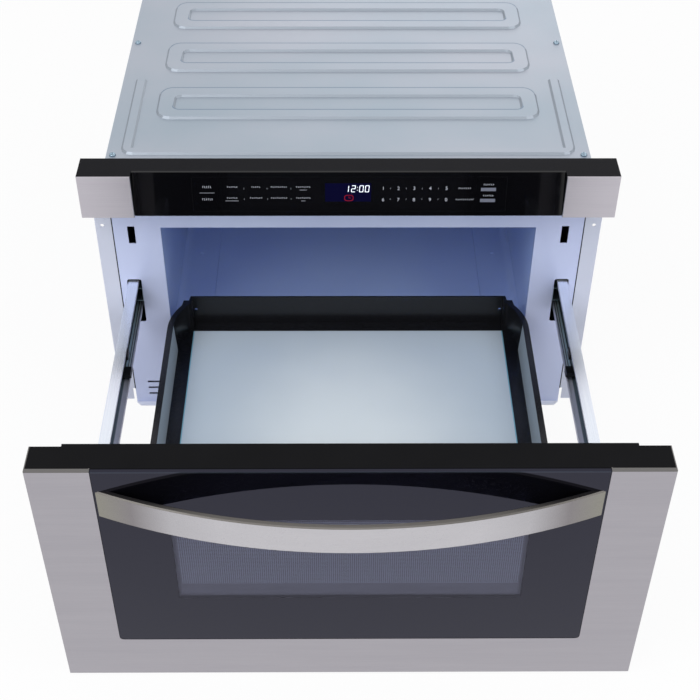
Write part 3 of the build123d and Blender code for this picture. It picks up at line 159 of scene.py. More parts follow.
def galvanisedSheet(name, light, dark, roughness=0.42, flankShade=None):
    # hot-dip zinc, skin passed smooth: the crystals barely show under a dull blue-grey skin; the
    # flanks of a bead get a darker colour, painted shade
    material, tree, shader, place = startFinish(name, {"Metallic": 0.75})
    grain = addNode(tree, "TexVoronoi", {"Scale": 1 / 0.009, "Randomness": 1.0}, {"Vector": place})
    split = addNode(tree, "SeparateColor", None, {"Color": grain.outputs["Color"]})
    crystal = split.outputs["Red"]
    cloud = patternAt(tree, place, (0.3, 0.2, 0.3), 2.0)
    mixed = addNode(tree, "Math", {"operation": "MULTIPLY_ADD", 1: 0.06}, {0: crystal, 2: cloud})
    tone = addNode(tree, "ValToRGB", {"stops": [(0.34, dark), (0.7, light)]},
                   {"Fac": mixed.outputs["Value"]}).outputs["Color"]
    face = addNode(tree, "NewGeometry").outputs["True Normal"]
    # painted shade on the flanks of a bead
    if flankShade:
        facing = addNode(tree, "SeparateXYZ", None, {"Vector": face})
        sloped = addNode(tree, "Math", {"operation": "ABSOLUTE"}, {0: facing.outputs["Z"]})
        # a flank's normal leans: 0 where its Z is 0.95, 1 from 0.8 down
        shadedFlank = addNode(tree, "MapRange", {"From Min": 0.95, "From Max": 0.8},
                        {"Value": sloped.outputs["Value"]})
        tone = addNode(tree, "Mix", {"data_type": "RGBA", 7: linearColour(flankShade)},
                       {0: shadedFlank.outputs["Result"], 6: tone}).outputs[2]
    rough = addNode(tree, "MapRange", {"To Min": roughness - 0.02, "To Max": roughness + 0.03},
                    {"Value": crystal})
    ripple = patternAt(tree, place, (0.05, 0.05, 0.05), 2.0)
    join(tree, shader, tone, rough.outputs["Result"], ripple, 0.0002, 0.1, face)
    return material


def powderEnamel(name, light, dark, roughness=0.34):
    # enamel paint on steel: an even skin with a faint orange peel, slightly cloudy
    surface = {"Coat Weight": 0.3, "Coat Roughness": 0.12, "IOR": 1.5}
    material, tree, shader, place = startFinish(name, surface)
    cloud = patternAt(tree, place, (0.18, 0.18, 0.18), 2.0)
    tone = addNode(tree, "ValToRGB", {"stops": [(0.35, dark), (0.65, light)]}, {"Fac": cloud})
    peel = patternAt(tree, place, (0.0022, 0.0022, 0.0022), 2.0)
    rough = addNode(tree, "MapRange", {"To Min": roughness - 0.05, "To Max": roughness + 0.05},
                    {"Value": peel})
    join(tree, shader, tone.outputs["Color"], rough.outputs["Result"], peel, 0.00008, 0.25)
    return material


def mouldedAbs(name, light, dark, roughness=0.4, grit=0.0009, relief=0.3, gloss=0.5):
    # injection moulded ABS: spark-eroded texture, matt in the pits and satin on the tops
    material, tree, shader, place = startFinish(name, {"IOR": 1.54, "Specular IOR Level": gloss})
    spark = patternAt(tree, place, (grit, grit, grit), 3.0)
    drift = patternAt(tree, place, (0.07, 0.07, 0.07), 2.0)
    tone = addNode(tree, "ValToRGB", {"stops": [(0.3, dark), (0.7, light)]}, {"Fac": drift})
    rough = addNode(tree, "MapRange", {
        "From Min": 0.3, "From Max": 0.7, "To Min": roughness - 0.06, "To Max": roughness + 0.08,
    }, {"Value": spark})
    join(tree, shader, tone.outputs["Color"], rough.outputs["Result"], spark, 0.00005, relief)
    return material


def polishedBlackGlass(name, code, smear):
    # float glass, printed black behind: deep, mirror smooth, with a trace of wiping haze
    surface = {"Base Color": linearColour(code), "IOR": 1.5, "Specular IOR Level": 0.25}
    material, tree, shader, place = startFinish(name, surface)
    haze = patternAt(tree, place, (0.09, 0.03, 0.03), 3.0)
    rough = addNode(tree, "MapRange", {
        "From Min": 0.35, "From Max": 0.75, "To Min": 0.03, "To Max": smear,
    }, {"Value": haze})
    join(tree, shader, None, rough.outputs["Result"])
    return material


def windowGlass(name, window):
    # tinted float glass, printed black outside a clear window, where |X| < half and Z lies between
    # base and top; its top edge is bevelled and ground, and within a reach of the bevel's middle
    # height darkened with painted shade from the cap above
    surface = {"IOR": 1.5, "Specular Tint": linearColour(window["sheen"])}
    material, tree, shader, place = startFinish(name, surface)
    axes, across = fromMiddle(tree, place)
    inX = addNode(tree, "Math", {"operation": "LESS_THAN", 1: window["half"]}, {0: across})
    above = addNode(tree, "Math", {"operation": "GREATER_THAN", 1: window["base"]},
                    {0: axes.outputs["Z"]})
    below = addNode(tree, "Math", {"operation": "LESS_THAN", 1: window["top"]},
                    {0: axes.outputs["Z"]})
    inZ = addNode(tree, "Math", {"operation": "MULTIPLY"},
                  {0: above.outputs["Value"], 1: below.outputs["Value"]})
    clear = addNode(tree, "Math", {"operation": "MULTIPLY"},
                    {0: inX.outputs["Value"], 1: inZ.outputs["Value"]})
    stops = [(0.0, window["print"]), (1.0, window["tint"])]
    tone = addNode(tree, "ValToRGB", {"stops": stops}, {"Fac": clear.outputs["Value"]})
    # painted shade on the ground bevel under the cap
    shadedBevel = addNode(tree, "Math", {
        "operation": "COMPARE", 1: window["bevel"], 2: window["bevelReach"],
    }, {0: axes.outputs["Z"]})
    tone = addNode(tree, "Mix", {"data_type": "RGBA", 7: linearColour(window["edge"])},
                   {0: shadedBevel.outputs["Value"], 6: tone.outputs["Color"]})
    haze = patternAt(tree, place, (0.12, 0.05, 0.05), 2.0)
    rough = addNode(tree, "MapRange", {
        "From Min": 0.35, "From Max": 0.75, "To Min": 0.02, "To Max": 0.06,
    }, {"Value": haze})
    tree.links.new(clear.outputs["Value"], shader.inputs["Transmission Weight"])
    join(tree, shader, tone.outputs[2], rough.outputs["Result"])
    return material


def perforatedPlate(name, screen):
    # painted steel punched with round holes on a square grid, where the distance to the nearest
    # grid point is under the hole's radius; a darker strip is left whole below
    material, tree, shader, place = startFinish(name, {"Roughness": 0.5, "Metallic": 0.2})
    axes, across = fromMiddle(tree, place)
    flat = addNode(tree, "CombineXYZ", None, {"X": axes.outputs["X"], "Y": axes.outputs["Z"]})
    cells = addNode(tree, "TexVoronoi", {
        "voronoi_dimensions": "2D", "Scale": 1 / screen["pitch"], "Randomness": 0.0,
    }, {"Vector": flat.outputs["Vector"]})
    reach = screen["hole"] / screen["pitch"]
    hole = addNode(tree, "Math", {"operation": "LESS_THAN", 1: reach},
                   {0: cells.outputs["Distance"]})
    inX = addNode(tree, "Math", {"operation": "LESS_THAN", 1: screen["half"]}, {0: across})
    above = addNode(tree, "Math", {"operation": "GREATER_THAN", 1: screen["base"]},
                    {0: axes.outputs["Z"]})
    field = addNode(tree, "Math", {"operation": "MULTIPLY"},
                    {0: inX.outputs["Value"], 1: above.outputs["Value"]})
    punched = addNode(tree, "Math", {"operation": "MULTIPLY"},
                      {0: field.outputs["Value"], 1: hole.outputs["Value"]})
    # the zone is 0 on the strip, 2/3 on the metal between the holes and 1 in a hole
    both = addNode(tree, "Math", {"operation": "MULTIPLY_ADD", 1: 0.5},
                   {0: punched.outputs["Value"], 2: field.outputs["Value"]})
    zone = addNode(tree, "Math", {"operation": "MULTIPLY", 1: 0.667}, {0: both.outputs["Value"]})
    stops = [(0.0, screen["strip"]), (0.66, screen["metal"]), (0.95, screen["dark"])]
    tone = addNode(tree, "ValToRGB", {"stops": stops}, {"Fac": zone.outputs["Value"]})
    tone.color_ramp.interpolation = "CONSTANT"
    dip = addNode(tree, "Math", {"operation": "SUBTRACT", 0: 1.0}, {1: punched.outputs["Value"]})
    join(tree, shader, tone.outputs["Color"], None, dip.outputs["Value"], 0.0003, 0.4)
    return material


def printedGlassPaintedSheen(name, middle, shadedRim, edge, reach, roughness, cutWidth=0.0014):
    # tempered glass, pale enamel fired on its back, with a painted highlight: palest in the
    # middle, darker towards the rim by sqrt((x / halfX)^2 + ((y - middleY) / halfY)^2), with cold
    # green cut edges
    surface = {"IOR": 1.5, "Coat Weight": 0.2, "Coat Roughness": 0.03}
    material, tree, shader, place = startFinish(name, surface)
    halfX, middleY, halfY = reach
    mapping = addNode(tree, "Mapping", {
        "vector_type": "TEXTURE", "Location": (0.0, middleY, 0.0),
        "Scale": (halfX, halfY, 1000.0),  # so long along Z that the height doesn't count
    }, {"Vector": place})
    far = addNode(tree, "VectorMath", {"operation": "LENGTH"}, {0: mapping.outputs["Vector"]})
    wave = patternAt(tree, place, (0.12, 0.12, 0.12), 2.0)
    drift = addNode(tree, "Math", {"operation": "MULTIPLY_ADD", 1: 0.25, 2: -0.12}, {0: wave})
    shade = addNode(tree, "Math", {"operation": "ADD"},
                    {0: far.outputs["Value"], 1: drift.outputs["Value"]})
    # painted highlight in the middle, fading to painted shade at the rim
    tone = addNode(tree, "ValToRGB", {"stops": [(0.15, middle), (1.0, shadedRim)]},
                   {"Fac": shade.outputs["Value"]})
    tone.color_ramp.interpolation = "EASE"
    across = fromMiddle(tree, place)[1]
    cut = addNode(tree, "Math", {"operation": "GREATER_THAN", 1: halfX - cutWidth}, {0: across})
    mixed = addNode(tree, "Mix", {"data_type": "RGBA", 7: linearColour(edge)},
                    {0: cut.outputs["Value"], 6: tone.outputs["Color"]})
    rough = addNode(tree, "MapRange", {"To Min": roughness, "To Max": roughness + 0.05},
                    {"Value": wave})
    join(tree, shader, mixed.outputs[2], rough.outputs["Result"])
    return material


def drawnZinc(name, light, dark, roughness=0.3, metal=0.9):
    # cold rolled and bright plated: drawing marks along the rail, pale and slippery
    material, tree, shader, place = startFinish(name, {"Metallic": metal})
    drawn = patternAt(tree, place, rolled)
    tone = addNode(tree, "ValToRGB", {"stops": [(0.3, dark), (0.7, light)]}, {"Fac": drawn})
    rough = addNode(tree, "MapRange", {
        "From Min": 0.3, "From Max": 0.7, "To Min": roughness - 0.05, "To Max": roughness + 0.05,
    }, {"Value": drawn})
    join(tree, shader, tone.outputs["Color"], rough.outputs["Result"], drawn, 0.00002, 0.1)
    return material


def channelZincPaintedShade(name, light, dark, race):
    # zinc plated channel, bright outside; inside, below the top flange, painted shade: dark next
    # to the web, paler towards the open side
    material, tree, shader, place = startFinish(name, {"Metallic": 0.85})
    drawn = patternAt(tree, place, rolled)
    tone = addNode(tree, "ValToRGB", {"stops": [(0.3, dark), (0.7, light)]}, {"Fac": drawn})
    axes, across = fromMiddle(tree, place)
    inside = addNode(tree, "Math", {"operation": "LESS_THAN", 1: race["web"]}, {0: across})
    under = addNode(tree, "Math", {"operation": "LESS_THAN", 1: race["top"]},
                    {0: axes.outputs["Z"]})
    shadedInside = addNode(tree, "Math", {"operation": "MULTIPLY"},
                   {0: inside.outputs["Value"], 1: under.outputs["Value"]})
    # painted shade under the top flange, darkest next to the web
    insideShade = rampAcross(tree, across, race["open"], race["web"], race["stops"])
    mixed = addNode(tree, "Mix", {"data_type": "RGBA"},
                    {0: shadedInside.outputs["Value"], 6: tone.outputs["Color"], 7: insideShade})
    rough = addNode(tree, "MapRange", {"To Min": 0.24, "To Max": 0.5},
                    {"Value": shadedInside.outputs["Value"]})
    join(tree, shader, mixed.outputs[2], rough.outputs["Result"], drawn, 0.00002, 0.1)
    return material


def railPaintedLightAndShade(name, light, dark, race):
    # cold rolled rail, bright outside; inside, light and dark stripes along it: painted light and
    # painted shade of the nested rails' faces and the gaps between them
    material, tree, shader, place = startFinish(name, {"Metallic": 0.85, "Roughness": 0.32})
    drawn = patternAt(tree, place, rolled)
    tone = addNode(tree, "ValToRGB", {"stops": [(0.3, dark), (0.7, light)]}, {"Fac": drawn})
    axes, across = fromMiddle(tree, place)
    off = addNode(tree, "Math", {"operation": "SUBTRACT", 1: race["middle"]},
                  {0: axes.outputs["Z"]})
    far = addNode(tree, "Math", {"operation": "ABSOLUTE"}, {0: off.outputs["Value"]})
    between = addNode(tree, "Math", {"operation": "LESS_THAN", 1: race["reach"]},
                      {0: far.outputs["Value"]})
    within = addNode(tree, "Math", {"operation": "LESS_THAN", 1: race["skin"]}, {0: across})
    inside = addNode(tree, "Math", {"operation": "MULTIPLY"},
                     {0: between.outputs["Value"], 1: within.outputs["Value"]})
    # painted light and painted shade in stripes along the rail
    paintedStripes = rampAcross(tree, across, race["open"], race["web"], race["stops"])
    mixed = addNode(tree, "Mix", {"data_type": "RGBA"},
                    {0: inside.outputs["Value"], 6: tone.outputs["Color"], 7: paintedStripes})
    join(tree, shader, mixed.outputs[2], None, drawn, 0.00002, 0.1)
    return material


def laminatedIron(name, light, dark):
    # stacked and varnished electrical sheet: 0.5 mm layers seen edge on, light and dark in turn;
    # a wave comes back after 0.314 / Scale
    material, tree, shader, place = startFinish(name, {"Metallic": 0.7, "Coat Weight": 0.3})
    layers = addNode(tree, "TexWave", {"bands_direction": "Y", "Scale": 1 / 0.0031},
                     {"Vector": place}).outputs["Fac"]
    tone = addNode(tree, "ValToRGB", {"stops": [(0.3, dark), (0.7, light)]}, {"Fac": layers})
    join(tree, shader, tone.outputs["Color"], None, layers, 0.0002, 0.3)
    return material


def circuitBoard(name, light, dark):
    # solder mask over copper tracks: a grid of paler lines under a glossy green skin
    material, tree, shader, place = startFinish(name, {"Roughness": 0.3})
    tracks = addNode(tree, "TexBrick", {
        "Scale": 1 / 0.02, "Mortar Size": 0.02, "Color1": linearColour(dark),
        "Color2": linearColour(dark), "Mortar": linearColour(light),
    }, {"Vector": place})
    join(tree, shader, tracks.outputs["Color"], None, tracks.outputs["Fac"], 0.0001, 0.3)
    return material


def litInk(name, code, glow, gloss=0.5):
    # print or display segments lit from behind: flat colour with a slight unevenness
    surface = {
        "Roughness": 0.4, "Emission Color": linearColour(code), "Emission Strength": glow,
        "Specular IOR Level": gloss,
    }
    material, tree, shader, place = startFinish(name, surface)
    mottle = patternAt(tree, place, (0.0015, 0.0015, 0.0015), 2.0)
    stops = [(0.2, code), (0.9, code)]
    tone = addNode(tree, "ValToRGB", {"stops": stops}, {"Fac": mottle})
    join(tree, shader, tone.outputs["Color"], None, mottle, 0.00002, 0.1)
    return material


windowLook = {
    "half": 0.174, "base": 0.1325, "top": 0.2527,  # the clear part of the glass
    "print": "#07070b", "tint": "#bfc2cf", "sheen": "#cbcbf8",
    # the bevel's colour is a ground glass edge darkened with painted shade under the cap
    "bevel": 0.3201, "bevelReach": 0.0009, "edge": "#23282e",
}
screenLook = {
    "pitch": 0.0021, "hole": 0.0007,  # a little wider than real ones, so that they show
    "half": 0.1705, "base": 0.1519,  # of the punched field
    "metal": "#adafba", "dark": "#1e1f26", "strip": "#6d6d74",
}
# painted shade on the edge faces: further than reach from the middle height
# painted shade on the frame's top fold and the strap's long edges
frameTopShade = {"middle": 0.16, "reach": 0.1607, "colour": "#72706f"}  # fold on top of the frame
strapEdgeShade = {"middle": 0.2763, "reach": 0.0166, "colour": "#6a6764"}  # both long edges
# painted shade and a painted reflection towards the strap's ends
strapEndShade = {  # where the bowed strap turns from the light, in |X|
    "from": 0.12, "to": 0.2402,
    "stops": [(0.0, "#ffffff"), (0.4, "#efefef"), (0.72, "#b4b0af"), (1.0, "#bdbcac")],
}
# painted shade inside the drawer's channel
armInsideShade = {  # inside of the drawer's channel, from its open side to the web
    "open": 0.256, "web": 0.2675, "top": 0.2050,
    "stops": [(0.0, "#e9eaf9"), (0.55, "#dfe1f3"), (0.64, "#74828f"), (1.0, "#74828f")],
}
# painted light and shade stripes inside the middle rail
middleRailPaintedStripes = {  # inside of the middle rail, from its open side to the web
    "middle": 0.182, "reach": 0.0186, "skin": 0.2648, "open": 0.2562, "web": 0.264,
    "stops": [
        (0.0, "#d9ddf5"), (0.12, "#d9ddf5"), (0.15, "#39424e"), (0.2, "#39424e"),
        (0.24, "#eaf8ff"), (0.43, "#eaf8ff"), (0.47, "#2a333c"), (0.53, "#2a333c"),
        (0.57, "#d3ecf5"), (0.86, "#d3ecf5"), (0.9, "#2a333a"), (1.0, "#2a333a"),
    ],
}
finishes = {
    "brushedFront": brushedStainless("brushed_stainless_front", "#b0adb3", "#a6a3aa", 0.34,
                                     edgeShade=frameTopShade),
    "brushedCap": brushedStainless("brushed_stainless_cap", "#cac6cd", "#c0bcc4", 0.34),
    "brushedHandle": brushedStainless("brushed_stainless_handle", "#c8c6ca", "#bfbdc2", 0.3,
                                      edgeShade=strapEdgeShade, ends=strapEndShade),
    "galvanised": galvanisedSheet("galvanised_steel", "#b1b6c1", "#a1adb9", flankShade="#949ca6"),
    "galvanisedDull": galvanisedSheet("galvanised_steel_dull", "#aeb8c0", "#9fa9b1", 0.5),
    "enamel": powderEnamel("enamel_front", "#d2dcfd", "#c9d3f7"),
    "enamelFlange": powderEnamel("enamel_flange", "#d7dcee", "#cfd5e8"),
    # the base pan's enamel is a lighter copy of the front's: painted light on the lip in shade at
    # the foot
    "enamelBaseLit": powderEnamel("enamel_base", "#f2f5ff", "#eaeefd"),
    # the cavity's enamel is a bluer copy of the front's: painted light and painted blue shade for
    # the inside of the cavity
    "cavityEnamelShadeCopy": powderEnamel("enamel_cavity", "#c0d5ff", "#b7ccfc", 0.24),
    "trim": mouldedAbs("moulded_abs_trim", "#131315", "#101012", 0.5, gloss=0.04),
    "housing": mouldedAbs("moulded_abs_housing", "#151519", "#121216", 0.5, gloss=0.05),
    "tray": mouldedAbs("moulded_tray", "#15161b", "#101116", 0.24, 0.0006, 0.03, 0.35),
    "works": mouldedAbs("moulded_pbt_works", "#26262a", "#1e1e22", 0.45),
    "inner": mouldedAbs("moulded_inner_panel", "#2a2b30", "#222327", 0.42, gloss=0.3),
    "nose": mouldedAbs("moulded_pom_nose", "#111114", "#0d0d10", 0.35, gloss=0.2),
    "acetal": mouldedAbs("moulded_acetal", "#e2e1dc", "#d8d7d1", 0.38, 0.0011, 0.15),
    "mica": mouldedAbs("mica_sheet", "#d8d3c6", "#c9c2b2", 0.5, 0.004, 0.2),
    "panelGlass": polishedBlackGlass("touch_panel_glass", "#09090c", 0.07),
    "drawerGlass": windowGlass("drawer_front_glass", windowLook),
    "screen": perforatedPlate("perforated_screen", screenLook),
    "trap": mouldedAbs("black_enamel_steel", "#202126", "#18191d", 0.4),
    "floorGlass": printedGlassPaintedSheen("tray_floor_glass", "#e8f2f8", "#c4d2df", "#7fb4cc",
                               (0.1949, -0.19, 0.23), 0.12),
    "sideGlass": printedGlassPaintedSheen("tray_side_glass", "#c6d3e1", "#b2c1cf", "#a0afbe",
                              (0.3, -0.19, 0.3), 0.2),
    "arm": channelZincPaintedShade("bright_zinc_arm", "#f0f5fd", "#e4eaf6", armInsideShade),
    "railPaintedStripes": railPaintedLightAndShade("zinc_rail_middle", "#b9d0c6", "#a3bab0", middleRailPaintedStripes),
    "railDark": drawnZinc("zinc_rail_fixed", "#8fa3ae", "#76868f", 0.4),
    "roller": drawnZinc("polished_steel_roller", "#4a4d54", "#3a3c43", 0.25, 1.0),
    "aluminium": drawnZinc("pressed_aluminium", "#c4c6c9", "#b4b6ba", 0.35, 1.0),
    # dark zinc colour of the crease bands: painted shade
    "creaseShade": galvanisedSheet("galvanised_steel_crease_shade", "#8a97a8", "#8090a2", 0.5),
    "screwSteel": drawnZinc("zinc_plated_screw", "#a3b6c4", "#7b909f", 0.25, 1.0),
    "iron": laminatedIron("varnished_laminations", "#5a5650", "#38352f"),
    "board": circuitBoard("circuit_board", "#3f7a55", "#1e4a31"),
    "print": litInk("white_print", "#bfc3cf", 0.2),
    "pad": litInk("grey_print", "#6d7180", 0.08),
    "display": litInk("display_navy", "#0a0a28", 0.25, 0.0),
    "segment": litInk("display_white", "#eef5ff", 0.9),
    "icon": litInk("display_red", "#8a1826", 0.45, 0.0),
    "groove": litInk("panel_outline", "#0e0e12", 0.0, 0.1),
    # dark colour of the seam strips: painted shade
    "seamShade": mouldedAbs("seam_shade_strip", "#26262e", "#1c1c24", 0.7, gloss=0.1),
}
dressing = {
    "brushedFront": "drawer_frame",
    "brushedCap": "left_end_cap right_end_cap",
    "brushedHandle": "handle",
    "galvanised": "top_cover left_side_panel right_side_panel back_panel",
    "galvanisedDull": "rail_brackets motor_bracket",
    "enamelBaseLit": "base_pan",
    "enamel": "front_panel",
    "enamelFlange": "left_mounting_flange right_mounting_flange",
    "cavityEnamelShadeCopy": "cavity_floor left_cavity_wall right_cavity_wall cavity_roof cavity_back",
    "trim": "top_trim",
    "housing": "control_housing",
    "tray": "tray_frame",
    "works": "fan_shroud fan_blade cord_gland interlock_switches",
    "inner": "inner_door_panel",
    "nose": "left_bumper right_bumper",
    "acetal": "cavity_lamp drive_rack latch_hooks drive_pinion",
    "mica": "stirrer_cover",
    "panelGlass": "control_glass",
    "drawerGlass": "drawer_glass",
    "screen": "window_screen",
    "trap": "wave_trap",
    "floorGlass": "tray_floor_glass",
    "sideGlass": "tray_side_glass",
    "arm": "left_rail_arm right_rail_arm",
    "railPaintedStripes": "left_middle_rail right_middle_rail",
    "railDark": "fixed_rails",
    "roller": "left_outer_cage right_outer_cage left_inner_cage right_inner_cage",
    "aluminium": "waveguide magnetron hv_capacitor stirrer_fan fan_motor stirrer_motor "
                 "drive_motor",
    "screwSteel": "cover_screws handle_screws",
    "iron": "hv_transformer",
    "board": "control_board",
}
for finish, names in dressing.items():
    for name in names.split():
        for slot in nodes[name].material_slots:
            slot.material = finishes[finish]
dressed = set(" ".join(dressing.values()).split())
print("finishes on", len(dressed), "nodes; bare:", sorted(set(nodes) - dressed))


# new pieces

def makePiece(name, points, faces, finish, body, smooth=False):
    # a mesh from an array of corners and one of faces, riding on a body
    mesh = bpy.data.meshes.new(name)
    mesh.from_pydata(np.asarray(points, float).tolist(), [], [list(f) for f in faces])
    mesh.update()
    if smooth:
        mesh.shade_smooth()
    piece = bpy.data.objects.new(name, mesh)
    bpy.context.scene.collection.objects.link(piece)
    mesh.materials.append(finishes[finish])
    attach(piece, body)
    return piece


def prisms(outlines, low, high):
    # closed flat bars: each row of outlines is one polygon (u, v), walled from height low to high;
    # one that runs clockwise, whose sum of u dv - v du is negative, is turned round first
    outlines = np.array(outlines, float)
    ahead = np.roll(outlines, -1, axis=1)
    swept = outlines[:, :, 0] * ahead[:, :, 1] - outlines[:, :, 1] * ahead[:, :, 0]
    turned = swept.sum(axis=1) < 0
    outlines[turned] = outlines[turned][:, ::-1]
    count, sides, _ = outlines.shape
    ends = [np.dstack([outlines, np.full((count, sides), h)]) for h in (low, high)]
    points = np.concatenate(ends, axis=1).reshape(-1, 3)
    starts = np.arange(count)[:, None] * 2 * sides
    ring = np.arange(sides)
    bottom = starts + ring[::-1]
    top = starts + sides + ring
    nextOne = (ring + 1) % sides
    walls = np.stack([ring, nextOne, sides + nextOne, sides + ring], axis=1)
    walls = (starts[:, :, None] + walls[None]).reshape(-1, 4)
    return points, list(bottom) + list(top) + list(walls)


touchPanel = {
    "foot": (-0.0344, 0.3285),  # lower edge of the leaning glass, Y and Z
    "top": (-0.0280, 0.3840),  # upper edge
    "ink": 0.00006,  # thickness of the print
    "clear": 0.00002,  # gap under it
}


def ontoPanel(points):
    # (x, height along the slope, lift) in metres to the leaning face of the touch panel
    foot = np.array([0.0, *touchPanel["foot"]])
    slope = np.array([0.0, *touchPanel["top"]]) - foot
    slope /= np.linalg.norm(slope)
    outwards = np.cross([1.0, 0.0, 0.0], slope)
    points = np.asarray(points, float)
    return (foot + points[:, :1] * [1.0, 0.0, 0.0] + points[:, 1:2] * slope
            + (points[:, 2:] + touchPanel["clear"]) * outwards)


def bars(boxes):
    # corners of rectangles given as (middle u, middle v, width, height) in millimetres
    boxes = np.asarray(boxes, float) / 1000
    corners = np.array([[-0.5, -0.5], [0.5, -0.5], [0.5, 0.5], [-0.5, 0.5]])
    return boxes[:, None, :2] + corners[None] * boxes[:, None, 2:]


def panelPiece(name, outlines, finish, lift=0.0):
    # flat outlines laid on the touch panel, as thick as the print
    points, faces = prisms(outlines, lift, lift + touchPanel["ink"])
    return makePiece(name, ontoPanel(points), faces, finish, "cabinet")


keyLabels = {  # a row of short ticks marks each key
    "rows": [  # middle x, height on the glass, ticks, tick height in mm
        (-159.8, 37.5, 5, 2.6), (-159.8, 21.8, 6, 2.6), (-131.2, 37.5, 6, 1.7),
        (-104.8, 37.5, 5, 1.7), (-78.8, 37.5, 9, 1.7), (-51.4, 37.5, 8, 1.7),
        (-131.9, 23.5, 6, 1.7), (-104.8, 23.5, 7, 1.7), (-78.8, 23.5, 9, 1.7),
        (-51.4, 23.5, 8, 1.7), (130.5, 35.7, 7, 1.7), (131.1, 21.4, 10, 1.7),
        (157.4, 40.4, 6, 1.9), (157.5, 26.4, 6, 1.9),
    ],
    "step": 2.1, "width": 0.8, "foot": 0.35,  # from tick to tick; its short bar, long and thick
    "lines": [  # middle x, height, length, thickness
        (-159.8, 29.9, 17.0, 0.25), (-131.9, 19.8, 15.0, 0.3), (-51.4, 33.6, 8.0, 0.3),
        (-51.4, 19.7, 5.0, 0.3),
    ],
    "pads": [(157.5, 34.2, 17.0, 4.2), (157.3, 20.2, 17.0, 4.2)],
    "dividers": [-118.0, -91.8, -65.1, 47.0, 64.9, 82.8, 101.0],  # middle x, between the keys
    "dividerRows": [(35.5, 2.0), (22.0, 2.0)],  # height on the glass, length
    "dividerWidth": 0.2,
}


def labelTicks():
    # upright strokes a step apart, whose short bar is at the top, the foot and the middle in turn
    boxes = []
    for x, height, count, tall in keyLabels["rows"]:
        for i in range(count):
            at = x + (i - (count - 1) / 2) * keyLabels["step"]
            boxes.append((at, height, keyLabels["width"] / 2, tall))
            level = height + (tall - keyLabels["foot"]) / 2 * (1, -1, 0)[i % 3]
            boxes.append((at + keyLabels["width"] / 2, level, keyLabels["width"],
                          keyLabels["foot"]))
    for x in keyLabels["dividers"]:
        for height, tall in keyLabels["dividerRows"]:
            boxes.append((x, height, keyLabels["dividerWidth"], tall))
    return boxes + keyLabels["lines"]


panelPiece("panel_labels", bars(labelTicks()), "print")
panelPiece("key_pads", bars(keyLabels["pads"]), "pad")


numberKeys = {
    "figures": "1234567890", "size": 0.0062, "steps": 3,  # steps round each curve of a figure
    "thinner": 0.008,  # taken off each side of a stroke, in figure heights
    "x": [38.9, 56.1, 73.8, 91.9, 110.2], "heights": [35.5, 21.0],
}


def figureMesh(figure, x, height):
    # one figure of the built-in font as a thin closed mesh, centred at a place on the panel
    curve = bpy.data.curves.new("figure", "FONT")
    curve.body = figure
    curve.size = numberKeys["size"]
    curve.align_x = "CENTER"
    curve.align_y = "CENTER"
    curve.extrude = touchPanel["ink"] / 2
    curve.offset = -numberKeys["thinner"] * numberKeys["size"]
    curve.resolution_u = numberKeys["steps"]
    holder = bpy.data.objects.new("figure", curve)
    mesh = bpy.data.meshes.new_from_object(holder)
    points = np.zeros(len(mesh.vertices) * 3)
    mesh.vertices.foreach_get("co", points)
    points = points.reshape(-1, 3) + [x / 1000, height / 1000, touchPanel["ink"] / 2]
    faces = [list(face.vertices) for face in mesh.polygons]
    bpy.data.objects.remove(holder)
    bpy.data.curves.remove(curve)
    bpy.data.meshes.remove(mesh)
    return points, faces


def numberRows():
    # the figures in two rows; the corners of each are counted on from those before it
    points, faces, start = [], [], 0
    for i, figure in enumerate(numberKeys["figures"]):
        row, column = divmod(i, len(numberKeys["x"]))
        more, moreFaces = figureMesh(figure, numberKeys["x"][column], numberKeys["heights"][row])
        points.append(more)
        faces += [[start + corner for corner in face] for face in moreFaces]
        start += len(more)
    return np.concatenate(points), faces


points, faces = numberRows()
makePiece("panel_numbers", ontoPanel(points), faces, "print", "cabinet")

clockDisplay = {
    "window": (-0.7, 30.5, 51.9, 23.2),  # middle x, middle height, width, height
    "digits": [(-2.2, "1"), (5.3, "2"), (14.3, "0"), (20.8, "0")],
    "colon": (9.9, [33.4, 37.0]),
    "middle": 35.2, "width": 4.0, "height": 7.8, "stroke": 0.72, "slant": 0.1,
}
segmentsOf = {"0": "abcdef", "1": "bc", "2": "abged"}


def clockSegments():
    # seven bars a digit, each sheared by slant times its height over the digit's middle
    look = clockDisplay
    w, h, t = look["width"], look["height"], look["stroke"]
    place = {
        "a": (0, h / 2, w, t), "g": (0, 0, w, t), "d": (0, -h / 2, w, t),
        "f": (-w / 2, h / 4, t, h / 2 - t / 2), "b": (w / 2, h / 4, t, h / 2 - t / 2),
        "e": (-w / 2, -h / 4, t, h / 2 - t / 2), "c": (w / 2, -h / 4, t, h / 2 - t / 2),
    }
    boxes = [
        (x + place[key][0], look["middle"] + place[key][1], place[key][2], place[key][3])
        for x, digit in look["digits"] for key in segmentsOf[digit]
    ]
    boxes += [(look["colon"][0], height, t, t) for height in look["colon"][1]]
    corners = bars(boxes)
    corners[:, :, 0] += look["slant"] * (corners[:, :, 1] - look["middle"] / 1000)
    return corners


panelPiece("clock_window", bars([clockDisplay["window"]]), "display")
panelPiece("clock_digits", clockSegments(), "segment", 2 * touchPanel["ink"])

timerIcon = {
    "x": 0.2, "height": 23.5, "half": (5.2, 3.9), "stroke": 0.7, "steps": 36, "square": 3.0,
    "hands": [(0.0, 1.0, 0.5, 2.4), (1.2, 0.0, 2.4, 0.5)],  # from the middle: u, v, width, height
}


